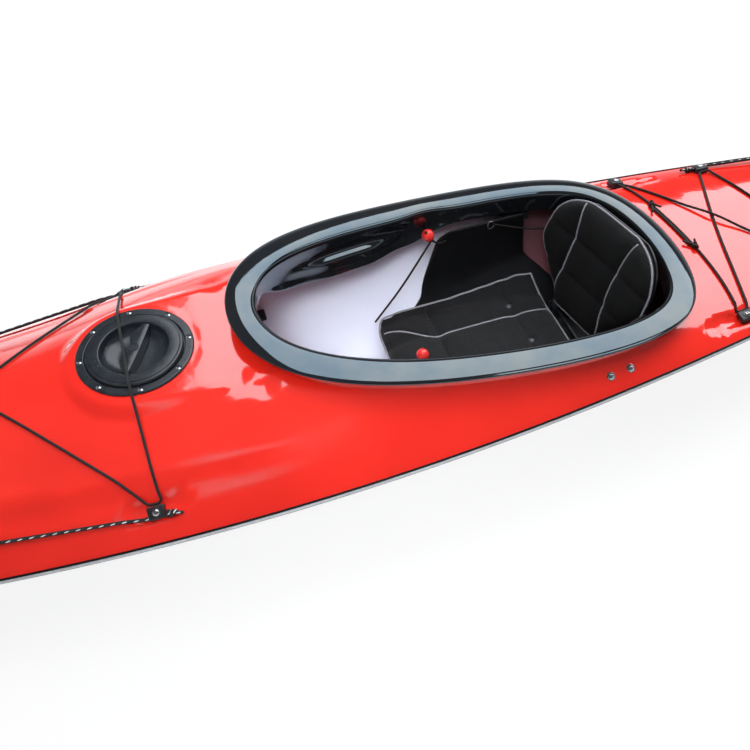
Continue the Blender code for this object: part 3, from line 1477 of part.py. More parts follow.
def make_foot_braces(hull_tree):
    """The two foot-brace rails on the hull's sides and the pedals that slide along them."""
    half = 0.5 * (RAIL_END - RAIL_START)
    for side, word in ((1, "port"), (-1, "starboard")):
        frame = wall_frame(hull_tree, side)
        bm = bmesh.new()
        low = (-half, -RAIL_DEPTH, -RAIL_HEIGHT / 2.0)
        box_into(bm, frame, low, (half, 0.0, RAIL_HEIGHT / 2.0), RAIL_CHAMFER)
        add_object("foot_rail_" + word, mesh_from("foot_rail", bm), "matte_black")
        share = (PEDAL_X - RAIL_START) / (RAIL_END - RAIL_START)
        seat = frame @ Vector((2.0 * half * share - half, -RAIL_DEPTH - RUNNING_GAP, 0.0))
        carriage = frame.copy()
        carriage.translation = seat
        bm = bmesh.new()
        box_into(bm, carriage, (-0.035, -PEDAL_OFFSET - 0.004, -0.011), (0.035, 0.0, 0.011), 0.002)
        pedal = add_object("foot_pedal_" + word, mesh_from("foot_pedal", bm), "matte_black")
        lean = Matrix.Translation(seat) @ Matrix.Rotation(math.radians(12.0), 4, "Y")
        ends = sorted((-side * PEDAL_OFFSET, -side * (PEDAL_OFFSET + PEDAL_WIDTH)))
        pieces = []
        bm = bmesh.new()
        low = (-PEDAL_SHELL / 2.0, ends[0], -PEDAL_HEIGHT * 0.30)
        box_into(bm, lean, low, (PEDAL_SHELL / 2.0, ends[1], PEDAL_HEIGHT * 0.70), 0.003)
        pieces.append(mesh_from("tread", bm))
        for k in range(5):
            bm = bmesh.new()
            level = blend(-0.022, 0.062, k / 4.0)
            low = (-PEDAL_SHELL, ends[0] + 0.008, level - 0.003)
            box_into(bm, lean, low, (0.0, ends[1] - 0.008, level + 0.003))
            pieces.append(mesh_from("rib", bm))
        boolean_into(pedal, pieces, "UNION")
        move_origin("foot_pedal_" + word, seat)


def make_hip_brackets(deck_tree, drills):
    """The brackets that hang the wings from the deck's sides, and their screws."""
    for side, word in ((1, "port"), (-1, "starboard")):
        inner = WING_HALF + PAN_SHELL + GAP
        rings = []
        for x in (SIDE_SCREW_X[1] - 0.010, SIDE_SCREW_X[0] + 0.012):
            ring = []
            for z in (SIDE_SCREW_Z - 0.014, SIDE_SCREW_Z + 0.001):
                hit, _, _, _ = deck_tree.ray_cast(Vector((x, side * WING_HALF, z)), Vector((0.0, side, 0.0)))
                ring.append((abs(hit.y) - 0.0018, z))
            (low_y, low_z), (high_y, high_z) = ring
            corners = ((inner, low_z), (low_y, low_z), (high_y, high_z), (inner, high_z))
            rings.append([(x, side * y, z) for y, z in corners])
        bracket = loft("hip_bracket_" + word, rings, "matte_black")
        bores = []
        for x in SIDE_SCREW_X:
            probe = Vector((x, side * 2.0 * HALF_BEAM, SIDE_SCREW_Z))
            hit, normal, _, _ = deck_tree.ray_cast(probe, Vector((0.0, -side, 0.0)))
            place = seat_on_slope(deck_tree, hit, normal, SIDE_SCREW_HEAD)
            bm = bmesh.new()
            screw_into(bm, place, SIDE_SCREW_HEAD, 0.0030, SIDE_SCREW_SHANK, SIDE_SCREW_LENGTH)
            end = "fore" if x == SIDE_SCREW_X[0] else "aft"
            name = f"side_screw_{end}_{word}"
            add_object(name, mesh_from(name, bm), "steel")
            bores.append(cylinder_mesh(place, SIDE_SCREW_SHANK + HOLE_GAP, -0.040, 0.0))
        boolean_into(bracket, bores, "DIFFERENCE")
        drills.extend(bores)


def seat_on_slope(tree, point, normal, radius):
    """A frame on a slanted face, clear by one gap of the facets under a round head."""
    frame = axis_frame(point, normal)
    high = 0.0
    for k in range(12):
        angle = 2.0 * math.pi * k / 12.0
        probe = frame @ Vector((radius * math.cos(angle), radius * math.sin(angle), 0.03))
        hit, _, _, _ = tree.ray_cast(probe, -normal)
        if hit:
            high = max(high, (hit - point).dot(normal))
    frame.translation = point + normal * (high + GAP)
    return frame


def make_ball(name, centre, axis):
    """A pull ball on its stub of cord, with the knot that stops it under the ball."""
    frame = axis_frame(centre, axis, Vector((0.0, 1.0, 0.0)))
    neck = SEAT_CORD_RADIUS
    knot = BALL_RADIUS + BALL_KNOT_REACH
    profile = [
        (0.0, -knot - 0.0045),
        (0.0030, -knot - 0.0036),
        (BALL_KNOT, -knot),
        (0.0032, -knot + 0.0034),
        (neck, -knot + 0.0044),
    ]
    start = math.asin(neck / BALL_RADIUS)
    for k in range(8):
        angle = blend(start, math.pi - start, k / 7.0)
        profile.append((BALL_RADIUS * math.sin(angle), -BALL_RADIUS * math.cos(angle)))
    profile.extend(((neck, BALL_RADIUS + 0.004), (0.0, BALL_RADIUS + 0.004)))
    bm = bmesh.new()
    turn_into(bm, profile, frame, 12)
    add_object(name, mesh_from(name, bm, 60.0), "ball_red")
    move_origin(name, centre)
    return centre - frame.to_3x3() @ Vector((0.0, 0.0, knot + 0.0045 + SEAT_CORD_RADIUS + GAP))


def make_seat_cords():
    """The lift cords with their pull balls, the backrest cords and their rings."""
    far = make_ball("pull_ball_starboard", Vector(STARBOARD_BALL), Vector(STARBOARD_BALL_AXIS))
    near = make_ball("pull_ball_port", Vector(PORT_BALL), Vector(PORT_BALL_AXIS))
    corner = CUSHION_HALF_WIDTH * 0.93
    toe = SEAT_FRONT - 0.0054 + SEAT_CORD_RADIUS + 0.0010
    anchor_z = WING_TOP - 0.0150
    anchor = Vector((WING_TOP_FRONT - 0.010, WING_HALF - SEAT_CORD_RADIUS - CORD_GAP, anchor_z))
    low = Vector((toe, -corner, LIFT_ANCHOR_Z))
    middle = far.lerp(low, 0.5) + Vector((0.004, 0.008, -0.006))
    shelf = Vector((anchor.x, -anchor.y, anchor.z))
    route = [shelf, shelf.lerp(far, 0.5) + Vector((0.0, 0.004, -0.003)), far, middle, low]
    cord("lift_cord_starboard", [thin_route(smooth_route(route, 0.006), BALL_SLACK)], SEAT_CORD_RADIUS, "cord_black")
    low = Vector((toe, corner, LIFT_ANCHOR_Z))
    rest_z = PAN_FLOOR + CUSHION_HEIGHT * CUSHION_FRONT + 0.0066
    rest = Vector((SEAT_FRONT - 0.030, CUSHION_HALF_WIDTH - 0.068, rest_z))
    lip = Vector((toe + 0.001, corner - 0.012, PAN_FLOOR + CUSHION_HEIGHT + 0.006))
    route = [anchor, anchor.lerp(near, 0.55) + Vector((0.0, 0.0, -0.012)), near, rest, lip, low]
    cord("lift_cord_port", [thin_route(smooth_route(route, 0.006), BALL_SLACK)], SEAT_CORD_RADIUS, "cord_black")
    for side, word in ((-1, "starboard"), (1, "port")):
        bm = bmesh.new()
        centre = Vector((RING_X, side * (WING_HALF - 0.0020), RING_Z))
        frame = axis_frame(centre, Vector((0.0, side, 0.0)), Vector((1.0, 0.0, 0.0)))
        rings = []
        for k in range(12):
            angle = 2.0 * math.pi * k / 12.0
            spoke = Vector((math.cos(angle), math.sin(angle), 0.0))
            ring = []
            for j in range(5):
                turn = 2.0 * math.pi * j / 5.0
                rise = Vector((0.0, 0.0, RING_WIRE * math.sin(turn)))
                ring.append(frame @ (spoke * (RING_RADIUS + RING_WIRE * math.cos(turn)) + rise))
            rings.append(ring)
        loft_into(bm, rings, closed=True)
        add_object("cord_ring_" + word, mesh_from("cord_ring", bm, 60.0), "steel")
    frame = back_frame()
    for word, side in (("port", 1), ("starboard", -1)):
        start = Vector((RING_X - RING_RADIUS - RING_WIRE - CORD_GAP, side * (WING_HALF - 0.0032), RING_Z))
        edge = frame @ back_sheet(0.60, side, 0.006)
        end = edge + Vector((0.0, side * (SEAT_CORD_RADIUS + 0.0012), 0.0))
        sag = start.lerp(end, 0.5) + Vector((0.0, 0.0, -0.010))
        route = smooth_route([start, sag, end], 0.022)
        cord("backrest_cord_" + word, [route], SEAT_CORD_RADIUS, "cord_black")


def make_toggle(word, end, tree):
    """A carrying toggle at one end: pad eye, strap and the grip that hangs on it."""
    x = end * TOGGLE_X
    inward = Vector((-end, 0.0, 0.0))
    frame = seat_frame(tree, x, 0.0, 0.016, 0.008, heading=inward)
    pin_height = 0.0125
    eye = bmesh.new()
    box_into(eye, frame, (-0.016, -0.0125, 0.0), (0.016, 0.0125, 0.0025))
    eye_part = add_object(word + "_pad_eye", mesh_from("eye", eye), "steel")
    joined = []
    for side in (-1, 1):
        ear = bmesh.new()
        low = min(side * 0.0075, side * 0.0105)
        box_into(ear, frame, (-0.006, low, 0.0), (0.006, low + 0.0030, pin_height + 0.0050))
        joined.append(mesh_from("ear", ear))
    axle = frame @ Matrix.Translation((0.0, 0.0, pin_height)) @ Matrix.Rotation(math.radians(90.0), 4, "X")
    joined.append(cylinder_mesh(axle, 0.0028, -0.0105, 0.0105, 10))
    boolean_into(eye_part, joined, "UNION")
    hang = frame @ Matrix.Translation((0.0, 0.0, pin_height)) @ Matrix.Rotation(math.radians(-4.0), 4, "Y")
    strap = bmesh.new()
    outline = []
    for k in range(7):
        angle = math.pi * (0.5 + k / 6.0)
        outline.append((0.0062 * math.cos(angle), 0.0062 * math.sin(angle)))
    big = TOGGLE_RADIUS + 0.0030
    for k in range(9):
        angle = math.pi * (-0.5 + k / 8.0)
        outline.append((STRAP_REACH + big * math.cos(angle), big * math.sin(angle)))
    rings = [[hang @ Vector((a, w, b)) for a, b in outline] for w in (-0.0068, 0.0068)]
    loft_into(strap, rings)
    strap_part = add_object(word + "_toggle_strap", mesh_from("strap", strap), "cord_black")
    bores = []
    for along, radius in ((0.0, 0.0028 + HOLE_GAP), (STRAP_REACH, TOGGLE_RADIUS + GAP)):
        axle = hang @ Matrix.Translation((along, 0.0, 0.0)) @ Matrix.Rotation(math.radians(90.0), 4, "X")
        bores.append(cylinder_mesh(axle, radius, -0.02, 0.02, 12))
    boolean_into(strap_part, bores, "DIFFERENCE")
    axle = hang @ Matrix.Translation((STRAP_REACH, 0.0, 0.0)) @ Matrix.Rotation(math.radians(90.0), 4, "X")
    half = TOGGLE_LENGTH / 2.0
    profile = (
        (0.0, -half),
        (TOGGLE_RADIUS * 0.9, -half),
        (TOGGLE_RADIUS * 1.25, -half + 0.004),
        (TOGGLE_RADIUS * 1.25, -half + 0.012),
        (TOGGLE_RADIUS, -half + 0.020),
        (TOGGLE_RADIUS, half - 0.020),
        (TOGGLE_RADIUS * 1.25, half - 0.012),
        (TOGGLE_RADIUS * 1.25, half - 0.004),
        (TOGGLE_RADIUS * 0.9, half),
        (0.0, half),
    )
    bm = bmesh.new()
    turn_into(bm, profile, axle, 12)
    add_object(word + "_toggle", mesh_from("toggle", bm), "matte_black")
    for name in (word + "_toggle", word + "_toggle_strap"):
        move_origin(name, hang.translation)


def main():
    """Build every sub-part."""
    clear_scene()
    hull = make_hull()
    deck = make_deck()
    hull_tree = bvh_of(hull)
    deck_tree = bvh_of(deck)
    drills = []
    make_trim(1, "port")
    make_trim(-1, "starboard")
    make_coaming()
    hatch = make_hatch(drills)
    move_origin("hatch_lid", hatch.translation)
    bow = make_blocks("bow", BOW_BLOCKS, deck_tree, drills)
    stern = make_blocks("stern", STERN_BLOCKS, deck_tree, drills)
    bow_end = make_block("bow_block_end", BOW_LINE_END, 0.0, deck_tree, drills)
    stern_end = make_block("stern_block_end", STERN_LINE_END, 0.0, deck_tree, drills)
    make_lines(deck_tree, bow, stern, bow_end, stern_end)
    make_bulkhead("fore_bulkhead", FORE_BULKHEAD_STATION, deck_tree)
    make_bulkhead("aft_bulkhead", AFT_BULKHEAD_STATION, deck_tree)
    make_seat_pan()
    make_seat_riser()
    make_cushion()
    back = make_backrest()
    for name in ("backrest_pad", "backrest_plate"):
        move_origin(name, back.translation)
    make_foot_braces(hull_tree)
    make_hip_brackets(deck_tree, drills)
    make_seat_cords()
    make_toggle("bow", 1, deck_tree)
    make_toggle("stern", -1, deck_tree)
    boolean_into(deck, drills, "DIFFERENCE")
    deck.data.shade_smooth()
    deck.data.set_sharp_from_angle(angle=math.radians(35.0))


main()
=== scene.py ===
import json
import math

import bmesh
import bpy
import numpy as np
from mathutils import Matrix, Vector
from mathutils.bvhtree import BVHTree
from mathutils.geometry import delaunay_2d_cdt


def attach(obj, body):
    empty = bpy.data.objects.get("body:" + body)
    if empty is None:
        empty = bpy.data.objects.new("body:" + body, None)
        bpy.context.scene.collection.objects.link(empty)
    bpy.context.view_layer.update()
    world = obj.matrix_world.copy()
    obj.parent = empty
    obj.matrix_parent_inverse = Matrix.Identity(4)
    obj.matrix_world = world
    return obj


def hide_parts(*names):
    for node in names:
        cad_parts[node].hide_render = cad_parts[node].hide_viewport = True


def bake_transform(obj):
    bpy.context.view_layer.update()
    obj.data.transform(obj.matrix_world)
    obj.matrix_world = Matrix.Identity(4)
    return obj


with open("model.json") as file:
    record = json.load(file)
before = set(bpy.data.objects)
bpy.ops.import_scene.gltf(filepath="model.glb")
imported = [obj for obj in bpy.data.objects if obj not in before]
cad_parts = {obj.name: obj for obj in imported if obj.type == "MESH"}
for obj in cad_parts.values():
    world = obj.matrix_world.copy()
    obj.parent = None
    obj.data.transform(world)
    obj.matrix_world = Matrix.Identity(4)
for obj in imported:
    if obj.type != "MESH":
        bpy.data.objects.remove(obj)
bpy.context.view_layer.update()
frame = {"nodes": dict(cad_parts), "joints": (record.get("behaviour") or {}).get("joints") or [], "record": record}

scene = bpy.context.scene

# Camera: the photograph's viewing angle, worked out from the coaming, the seam line and the seat
CAMERA_PLACE = (0.245, 1.0, 1.312)
CAMERA_RIGHT = (-0.954, 0.294, -0.062)
CAMERA_FORWARD = (-0.143, -0.626, -0.767)
CAMERA_LENS = 38.4

camera_data = bpy.data.cameras.new("camera")
camera_data.lens = CAMERA_LENS
camera_data.sensor_width = 36.0
camera_data.sensor_fit = "HORIZONTAL"
camera_data.clip_end = 60.0
camera = bpy.data.objects.new("camera", camera_data)
scene.collection.objects.link(camera)
right = Vector(CAMERA_RIGHT).normalized()
forward = Vector(CAMERA_FORWARD).normalized()
down = forward.cross(right).normalized()
camera.matrix_world = Matrix((right, -down, -forward)).transposed().to_4x4()
camera.location = CAMERA_PLACE
scene.camera = camera
scene.view_settings.view_transform = "Standard"

# Sizes of the hull, the same as the CAD model's
HULL_LENGTH = 4.30
HALF_BEAM = 0.309
WIDEST_X = 0.17
BOW_FINENESS = 1.5
STERN_FINENESS = 1.88
TIP_HALF_WIDTH = 0.012
WALL = 0.005
SHEER_HEIGHT = 0.197
SHEER_SLOPE = 0.021
BOW_RISE = 0.20
BOW_RISE_START = 0.60
STERN_RISE = 0.09
STERN_RISE_START = 0.95
RISE_POWER = 2.4
KEEL_FLAT_END = 0.80
KEEL_FLAT_HALF = 0.130
KEEL_FLAT_POWER = 4.0
END_ROCKER = 0.070
STEM_LENGTH = 0.30
STEM_DEPTH = 0.022
CHINE_POWER = 1.05

# Sizes of the deck and the cockpit
FORE_CAMBER = 0.128
AFT_CAMBER = 0.022
BOW_CAMBER = 0.045
FORE_CROWN_POWER = 2.6
AFT_CROWN_POWER = 3.4
BOW_CROWN_POWER = 1.75
BOW_CROWN_START = 0.30
BOW_CROWN_END = 0.62
END_CROWN_POWER = 1.8
COCKPIT_X = -0.165
COCKPIT_HALF_LENGTH = 0.43
COCKPIT_HALF_WIDTH = 0.265
COCKPIT_EGG_X = 0.021
COCKPIT_EGG_TIP = -0.010
COCKPIT_EGG_Y = -0.010
COCKPIT_SHOULDER = 0.016
COAMING_HEIGHT = 0.284
COAMING_PITCH = 0.111
COAMING_END_LIFT = 0.10
COAMING_SIDE_LIFT = 0.156
LIP_HOOK = 0.010
LIP_EDGE = 0.0030
BALL_POCKET_X = -0.163
LIP_CROWN = 0.008
LIP_SHELL = 0.004
HOLE_INSET = 0.044
RISER_INSET = 0.030
RISER_FOOT = 0.018
RIM_WALL_DEPTH = 0.036
BRACE_FLOOR = 0.215
BRACE_LEAN = 0.012
SCOOP_REACH = 0.0155
LIP_SPAN = 0.05
# Section of the lip from its hook to its inner edge, as shares of its width and heights
LIP_PROFILE = ((0.070, -LIP_EDGE), (0.018, -LIP_EDGE + 0.0010), (0.0, 0.0002), (0.030, 0.0022),
               (0.09, 0.0038), (0.18, 0.0054), (0.29, 0.0069), (0.40, 0.0080), (0.52, 0.0087),
               (0.65, 0.0091), (0.78, 0.0090), (0.88, 0.0080), (0.95, 0.0056), (0.985, 0.0024), (1.0, -0.0010))
# Shallow dents in front of the coaming: x, y, radius and depth
SCALLOPS = (
    (0.274, -0.128, 0.024, 0.0030),
    (0.272, 0.112, 0.022, 0.0028),
    (0.236, 0.140, 0.019, 0.0024),
    (0.243, -0.150, 0.017, 0.0020),
)

# Sizes of the hatch
HATCH_X = 0.4287
HATCH_HEIGHT = 0.3207
HATCH_TILT = 0.034
HATCH_RADIUS = 0.100
HATCH_FLANGE = 0.004
HATCH_THROAT = 0.0785
HATCH_THROAT_DEPTH = 0.026
HATCH_SCREW_CIRCLE = 0.0925
HATCH_SCREWS = 8
PLATEAU_MARGIN = 0.006
LID_RADIUS = 0.0830
LID_CROWN = 0.0072
LID_SHELL = 0.003
BOWL_RADIUS = 0.0585
BOWL_DEPTH = 0.0225
GRIP_LENGTH = 0.112
GRIP_WIDTH = 0.0115
GRIP_BOSS = 0.0090
GRIP_WAVE = 0.0042
GRIP_HEADING = math.radians(65.0)
GASKET_HEIGHT = 0.0014

# Sizes of the seat
CUSHION_HEIGHT = 0.042
CUSHION_FRONT = 1.22
CUSHION_EDGE = 0.008
PAN_FLOOR = 0.034
PAN_SHELL = 0.004
PAN_HALF_FLOOR = 0.112
PAN_MARGIN = 0.0030
WING_HALF = 0.192
WING_TOP = 0.230
BACK_PIVOT_X = -0.415
SEAT_REAR = -0.400
SEAT_FRONT = -0.028
CUSHION_HALF_WIDTH = 0.163
PAN_FRONT = SEAT_FRONT - 0.017
PAN_REAR = BACK_PIVOT_X - 0.053
WING_FOOT_FRONT = SEAT_FRONT - 0.090
WING_TOP_FRONT = SEAT_FRONT - 0.164
WING_TOP_REAR = BACK_PIVOT_X + 0.027
PIPING_Y = 0.080
PIPING_RADIUS = 0.0021
SEAM_PIPING_RADIUS = 0.0019
PIPING_LIFT = 0.0009
SEAM_PIPING_LIFT = 0.0007
SEAM_FRONT_X = SEAT_FRONT - 0.118
SEAM_REAR_X = SEAT_FRONT - 0.290
BACK_PIVOT_Z = 0.056
BACK_LEAN = math.radians(19.0)
BACK_WRAP = 0.018
BACK_PAD = 0.034
PLATE_FRONT = 0.012
BACK_YAW = 0.120
BACK_ROLL = 0.080
BACK_HALF = 0.161
BACK_TOP = 0.257
BACK_KNEE = 0.147
BACK_FOOT = 0.024
BACK_SEAM = 0.066
BACK_CHANNELS = (0.105, 0.178)
CHANNEL_SUNK, CHANNEL_WIDTH = 0.0014, 0.005
# The cushion's buttons in plan, and how far and how wide they and the seams draw it in
TUFTS = ((-0.318, -0.106), (-0.322, 0.003), (-0.318, 0.112))
TUFT_SUNK, TUFT_WIDTH = 0.0062, 0.0085
SEAM_SUNK, SEAM_WIDTH = 0.0030, 0.0030

# Sizes of the fittings and the cords
BLOCK_LENGTH = 0.028
BLOCK_WIDTH = 0.022
BLOCK_BORE_Y = 0.0064
BLOCK_BORE_Z = 0.0052
BLOCK_HEIGHT = 0.011
BLOCK_FOOT = 0.0030
BLOCK_SIDES = (-1, 1, -1, 1)
BOW_LINE_END = 1.680
STERN_LINE_END = -1.620
BOW_BLOCKS = (
    (0.450, 0.865, "aft_starboard"),
    (0.450, 0.865, "aft_port"),
    (0.905, 0.800, "fore_starboard"),
    (0.905, 0.800, "fore_port"),
)
STERN_BLOCKS = (
    (-0.597, 0.865, "fore_starboard"),
    (-0.635, 0.865, "fore_port"),
    (-0.785, 0.865, "aft_starboard"),
    (-0.855, 0.865, "aft_port"),
)
BUNGEE_RADIUS = 0.0024
DOUBLED_OFFSET = 2.05 * BUNGEE_RADIUS
LINE_RADIUS = 0.0030
STERN_KNOTS = ((-0.621, -0.106), (-0.644, 0.034))
SEAT_CORD_RADIUS = 0.0021
BALL_RADIUS = 0.0130
STARBOARD_BALL = (SEAT_FRONT - 0.135, 0.080 - COCKPIT_HALF_WIDTH, 0.2450)
STARBOARD_BALL_AXIS = (0.35, 0.20, 0.76)
PORT_BALL = (SEAT_FRONT - 0.061, -0.013, 0.0932)
PORT_BALL_AXIS = (-0.30, -0.85, 0.30)
LIFT_ANCHOR_Z = PAN_FLOOR + 0.0395
RING_X = WING_TOP_REAR + 0.087
RING_Z = 0.2160
RING_RADIUS = 0.0090
RING_WIRE = 0.0016
RING_LIFT = 0.0100
SIDE_SCREW_X = (WING_TOP_REAR + 0.048, WING_TOP_REAR + 0.008)
SIDE_SCREW_Z = SHEER_HEIGHT + 0.0300
TRIM_HEIGHT = 0.012
TRIM_DEPTH = 0.0032
INSERT_HEIGHT = 0.0066
TOGGLE_LENGTH = 0.105
TOGGLE_RADIUS = 0.0105
STRAP_REACH = 0.085
PIN_HEIGHT = 0.0125
EYE_PIN = 0.0028
STRAP_HALF = 0.0068
STRAP_SHELL = 0.0022
GAP = 0.0003
CORD_GAP = 0.0006

# How finely the visible surfaces are cut
STATION_STEP = 0.020
COCKPIT_STEPS = 288
HATCH_STEPS = 120
SMALL_STEPS = 28
TUBE_SIDES = 10
CORD_STEP = 0.008
SEAT_CORD_STEP = 0.006
PIPING_STEP = 0.005
PAD_VOXEL = 0.0045
DECK_STEP = 0.0145
NORMAL_STEP = 0.0008
SECTION_STEP = 0.006
SECTION_POINTS = 57
LINE_STEP = 0.010
TAUT_STEPS = 80
BACK_ROWS = (22, 26)
# Where the deck's even rows end and its tips begin, and how clear its free points stay of both openings
DECK_TIP_X = 1.90
CLEAR_OF_COCKPIT = 0.070
CLEAR_OF_HATCH = 0.156
# Loops of points round the cockpit, as insets from its outline, and round the hatch, as radii
COCKPIT_LOOPS = (HOLE_INSET, 0.037, RISER_INSET, 0.0275, 0.025, 0.0225, 0.020, RISER_FOOT, 0.012, 0.006, 0.0,
                 -0.006, -0.012, -0.018, -0.025, -0.033, -0.042, -0.052, -0.063)
HATCH_LOOPS = (0.090, 0.098, 0.1045, 0.110, 0.116, 0.122, 0.128, 0.134, 0.141, 0.149)

# The cloth that swells the pads
CLOTH_FRAMES = 20
CLOTH = {
    "quality": 6,
    "mass": 0.2,
    "tension_stiffness": 12.0,
    "compression_stiffness": 12.0,
    "shear_stiffness": 5.0,
    "bending_stiffness": 0.3,
    "use_pressure": True,
    "uniform_pressure_force": 4.0,
    "vertex_group_mass": "held",
}

# Sizes in the looks: where painted shade turns the hull's inside dusky, and the repeats of the braid and its
# flecks
PAINTED_SHADE_X = (-0.37, -0.30)
BRAID_PITCH = 0.0050
FLECK_PITCH = 0.0360

SIDES = ((1, "port"), (-1, "starboard"))
UP = Vector((0.0, 0.0, 1.0))


def lerp(a, b, t):
    """Go from a to b as t goes from 0 to 1."""
    return a + (b - a) * t


def ease(low, high, value):
    """Rise smoothly from 0 at low to 1 at high."""
    t = np.clip((value - low) / (high - low), 0.0, 1.0)
    return t * t * (3.0 - 2.0 * t)


def bell(value, width):
    """A smooth hill round zero."""
    return np.exp(-(value / width) ** 2)


def circle(steps):
    """Angles at an even spacing round a circle."""
    return 2.0 * math.pi * np.arange(steps) / steps


def evenly(count):
    """Evenly spaced numbers from -1 to 1."""
    return [2.0 * k / (count - 1.0) - 1.0 for k in range(count)]


def half_beam(x):
    """Half the width of the hull at the sheer line."""
    x = np.asarray(x, float)
    bow = x > WIDEST_X
    reach = np.where(bow, HULL_LENGTH / 2.0 - WIDEST_X, HULL_LENGTH / 2.0 + WIDEST_X)
    power = np.where(bow, BOW_FINENESS, STERN_FINENESS)
    along = np.abs(x - WIDEST_X) / reach
    full = np.maximum(0.0, 1.0 - along * along) ** power
    return TIP_HALF_WIDTH + (HALF_BEAM - TIP_HALF_WIDTH) * full


def sheer(x):
    """Height of the line where hull and deck meet."""
    x = np.asarray(x, float)
    half = HULL_LENGTH / 2.0
    bow = BOW_RISE * np.clip((x - BOW_RISE_START) / (half - BOW_RISE_START), 0.0, 1.0) ** RISE_POWER
    stern = STERN_RISE * np.clip((-x - STERN_RISE_START) / (half - STERN_RISE_START), 0.0, 1.0) ** RISE_POWER
    return SHEER_HEIGHT - SHEER_SLOPE * x + bow + stern


def keel(x):
    """Height of the keel line: a flat panel, then rocker, then the round stem."""
    half = HULL_LENGTH / 2.0
    out = np.clip((abs(x) - KEEL_FLAT_END) / (half - KEEL_FLAT_END), 0.0, 1.0)
    rocker = END_ROCKER * out * out
    stem = np.clip((abs(x) - half + STEM_LENGTH) / STEM_LENGTH, 0.0, 1.0)
    rise = 1.0 - math.sqrt(max(0.0, 1.0 - stem * stem))
    return rocker + (sheer(x) - STEM_DEPTH - rocker) * rise


def hull_section(x, inset, steps=18):
    """One side of a hull section, from the sheer down to the edge of the keel panel."""
    half = float(half_beam(x)) - inset
    floor = float(keel(x)) + inset
    top = float(sheer(x))
    flat = KEEL_FLAT_HALF * (half / HALF_BEAM) ** KEEL_FLAT_POWER
    angle = 0.5 * math.pi * (1.0 - np.arange(steps + 1) / steps)
    power = 2.0 / CHINE_POWER
    across = np.abs(np.sin(angle)) ** power
    up = 1.0 - np.abs(np.cos(angle)) ** power
    return np.stack([flat + (half - flat) * across, floor + (top - floor) * up], axis=1)


def hull_inside(x, z):
    """Half the hull's inner width at a place along it and a height above its floor."""
    points = hull_section(x, WALL, 7)[::-1]
    return float(np.interp(z, points[:, 1], points[:, 0]))


def cockpit_point(angle, inset=0.0):
    """Points of the cockpit's egg outline in plan, moved in square to the outline."""
    c, s = np.cos(angle), np.sin(angle)
    x = COCKPIT_HALF_LENGTH * c + COCKPIT_EGG_X * (np.cos(2 * angle) - 1.0)
    x = x + COCKPIT_EGG_TIP * (np.cos(3 * angle) - c)
    y = COCKPIT_HALF_WIDTH * s + COCKPIT_EGG_Y * np.sin(2 * angle) + COCKPIT_SHOULDER * np.sin(3 * angle)
    dx = -COCKPIT_HALF_LENGTH * s - 2.0 * COCKPIT_EGG_X * np.sin(2 * angle)
    dx = dx - COCKPIT_EGG_TIP * (3.0 * np.sin(3 * angle) - s)
    dy = COCKPIT_HALF_WIDTH * c + 2.0 * COCKPIT_EGG_Y * np.cos(2 * angle)
    dy = dy + 3.0 * COCKPIT_SHOULDER * np.cos(3 * angle)
    length = np.hypot(dx, dy)
    return COCKPIT_X + x - inset * dy / length, y + inset * dx / length


OUTLINE = np.stack(cockpit_point(circle(240)), axis=1)


def inside_loop(x, y, loop):
    """True where points in plan lie inside a closed loop of points."""
    a, b = loop, np.roll(loop, 1, axis=0)
    inside = np.zeros(np.shape(x), bool)
    for (x1, y1), (x2, y2) in zip(a, b):
        if y1 == y2:
            continue
        crosses = ((y1 > y) != (y2 > y)) & (x < (x2 - x1) * (y - y1) / (y2 - y1) + x1)
        inside ^= crosses
    return inside


def cockpit_distance(x, y):
    """Distance in plan from the coaming's outer edge, negative inside it."""
    shape = np.shape(x)
    flat_x, flat_y = np.ravel(x).astype(float), np.ravel(y).astype(float)
    best = np.full(flat_x.shape, 1.0)
    near = np.nonzero((np.abs(flat_x - COCKPIT_X) < 0.62) & (np.abs(flat_y) < 0.42))[0]
    a, b = np.roll(OUTLINE, 1, axis=0), OUTLINE
    run = b - a
    size = (run ** 2).sum(1)
    for start in range(0, len(near), 3000):
        pick = near[start:start + 3000]
        px = flat_x[pick][:, None] - a[:, 0]
        py = flat_y[pick][:, None] - a[:, 1]
        t = np.clip((px * run[:, 0] + py * run[:, 1]) / size, 0.0, 1.0)
        away = np.hypot(px - t * run[:, 0], py - t * run[:, 1]).min(1)
        inner = inside_loop(flat_x[pick], flat_y[pick], OUTLINE)
        best[pick] = np.where(inner, -away, away)
    return best.reshape(shape)


def coaming_height(x, y):
    """Height of the coaming's lip, which climbs to the bow, at both ends and to both sides."""
    along = x - COCKPIT_X
    return COAMING_HEIGHT + COAMING_PITCH * along + COAMING_END_LIFT * along ** 2 + COAMING_SIDE_LIFT * y ** 2


def plateau(x):
    """Height of the flat that the round hatch seats on."""
    return HATCH_HEIGHT + math.tan(HATCH_TILT) * (x - HATCH_X)


def knuckle_ridge(x, y):
    """The soft fold that runs along each side of the foredeck and dies out at the cockpit."""
    line = np.interp(x, (0.20, 0.27, 0.48, 0.68, 0.90), (0.232, 0.227, 0.210, 0.186, 0.150))
    fade = ease(0.14, 0.34, x) * (1.0 - ease(0.95, 1.30, x))
    off = np.abs(y) - line
    return fade * (0.0038 * bell(off, 0.013) - 0.0030 * bell(off - 0.026, 0.014))


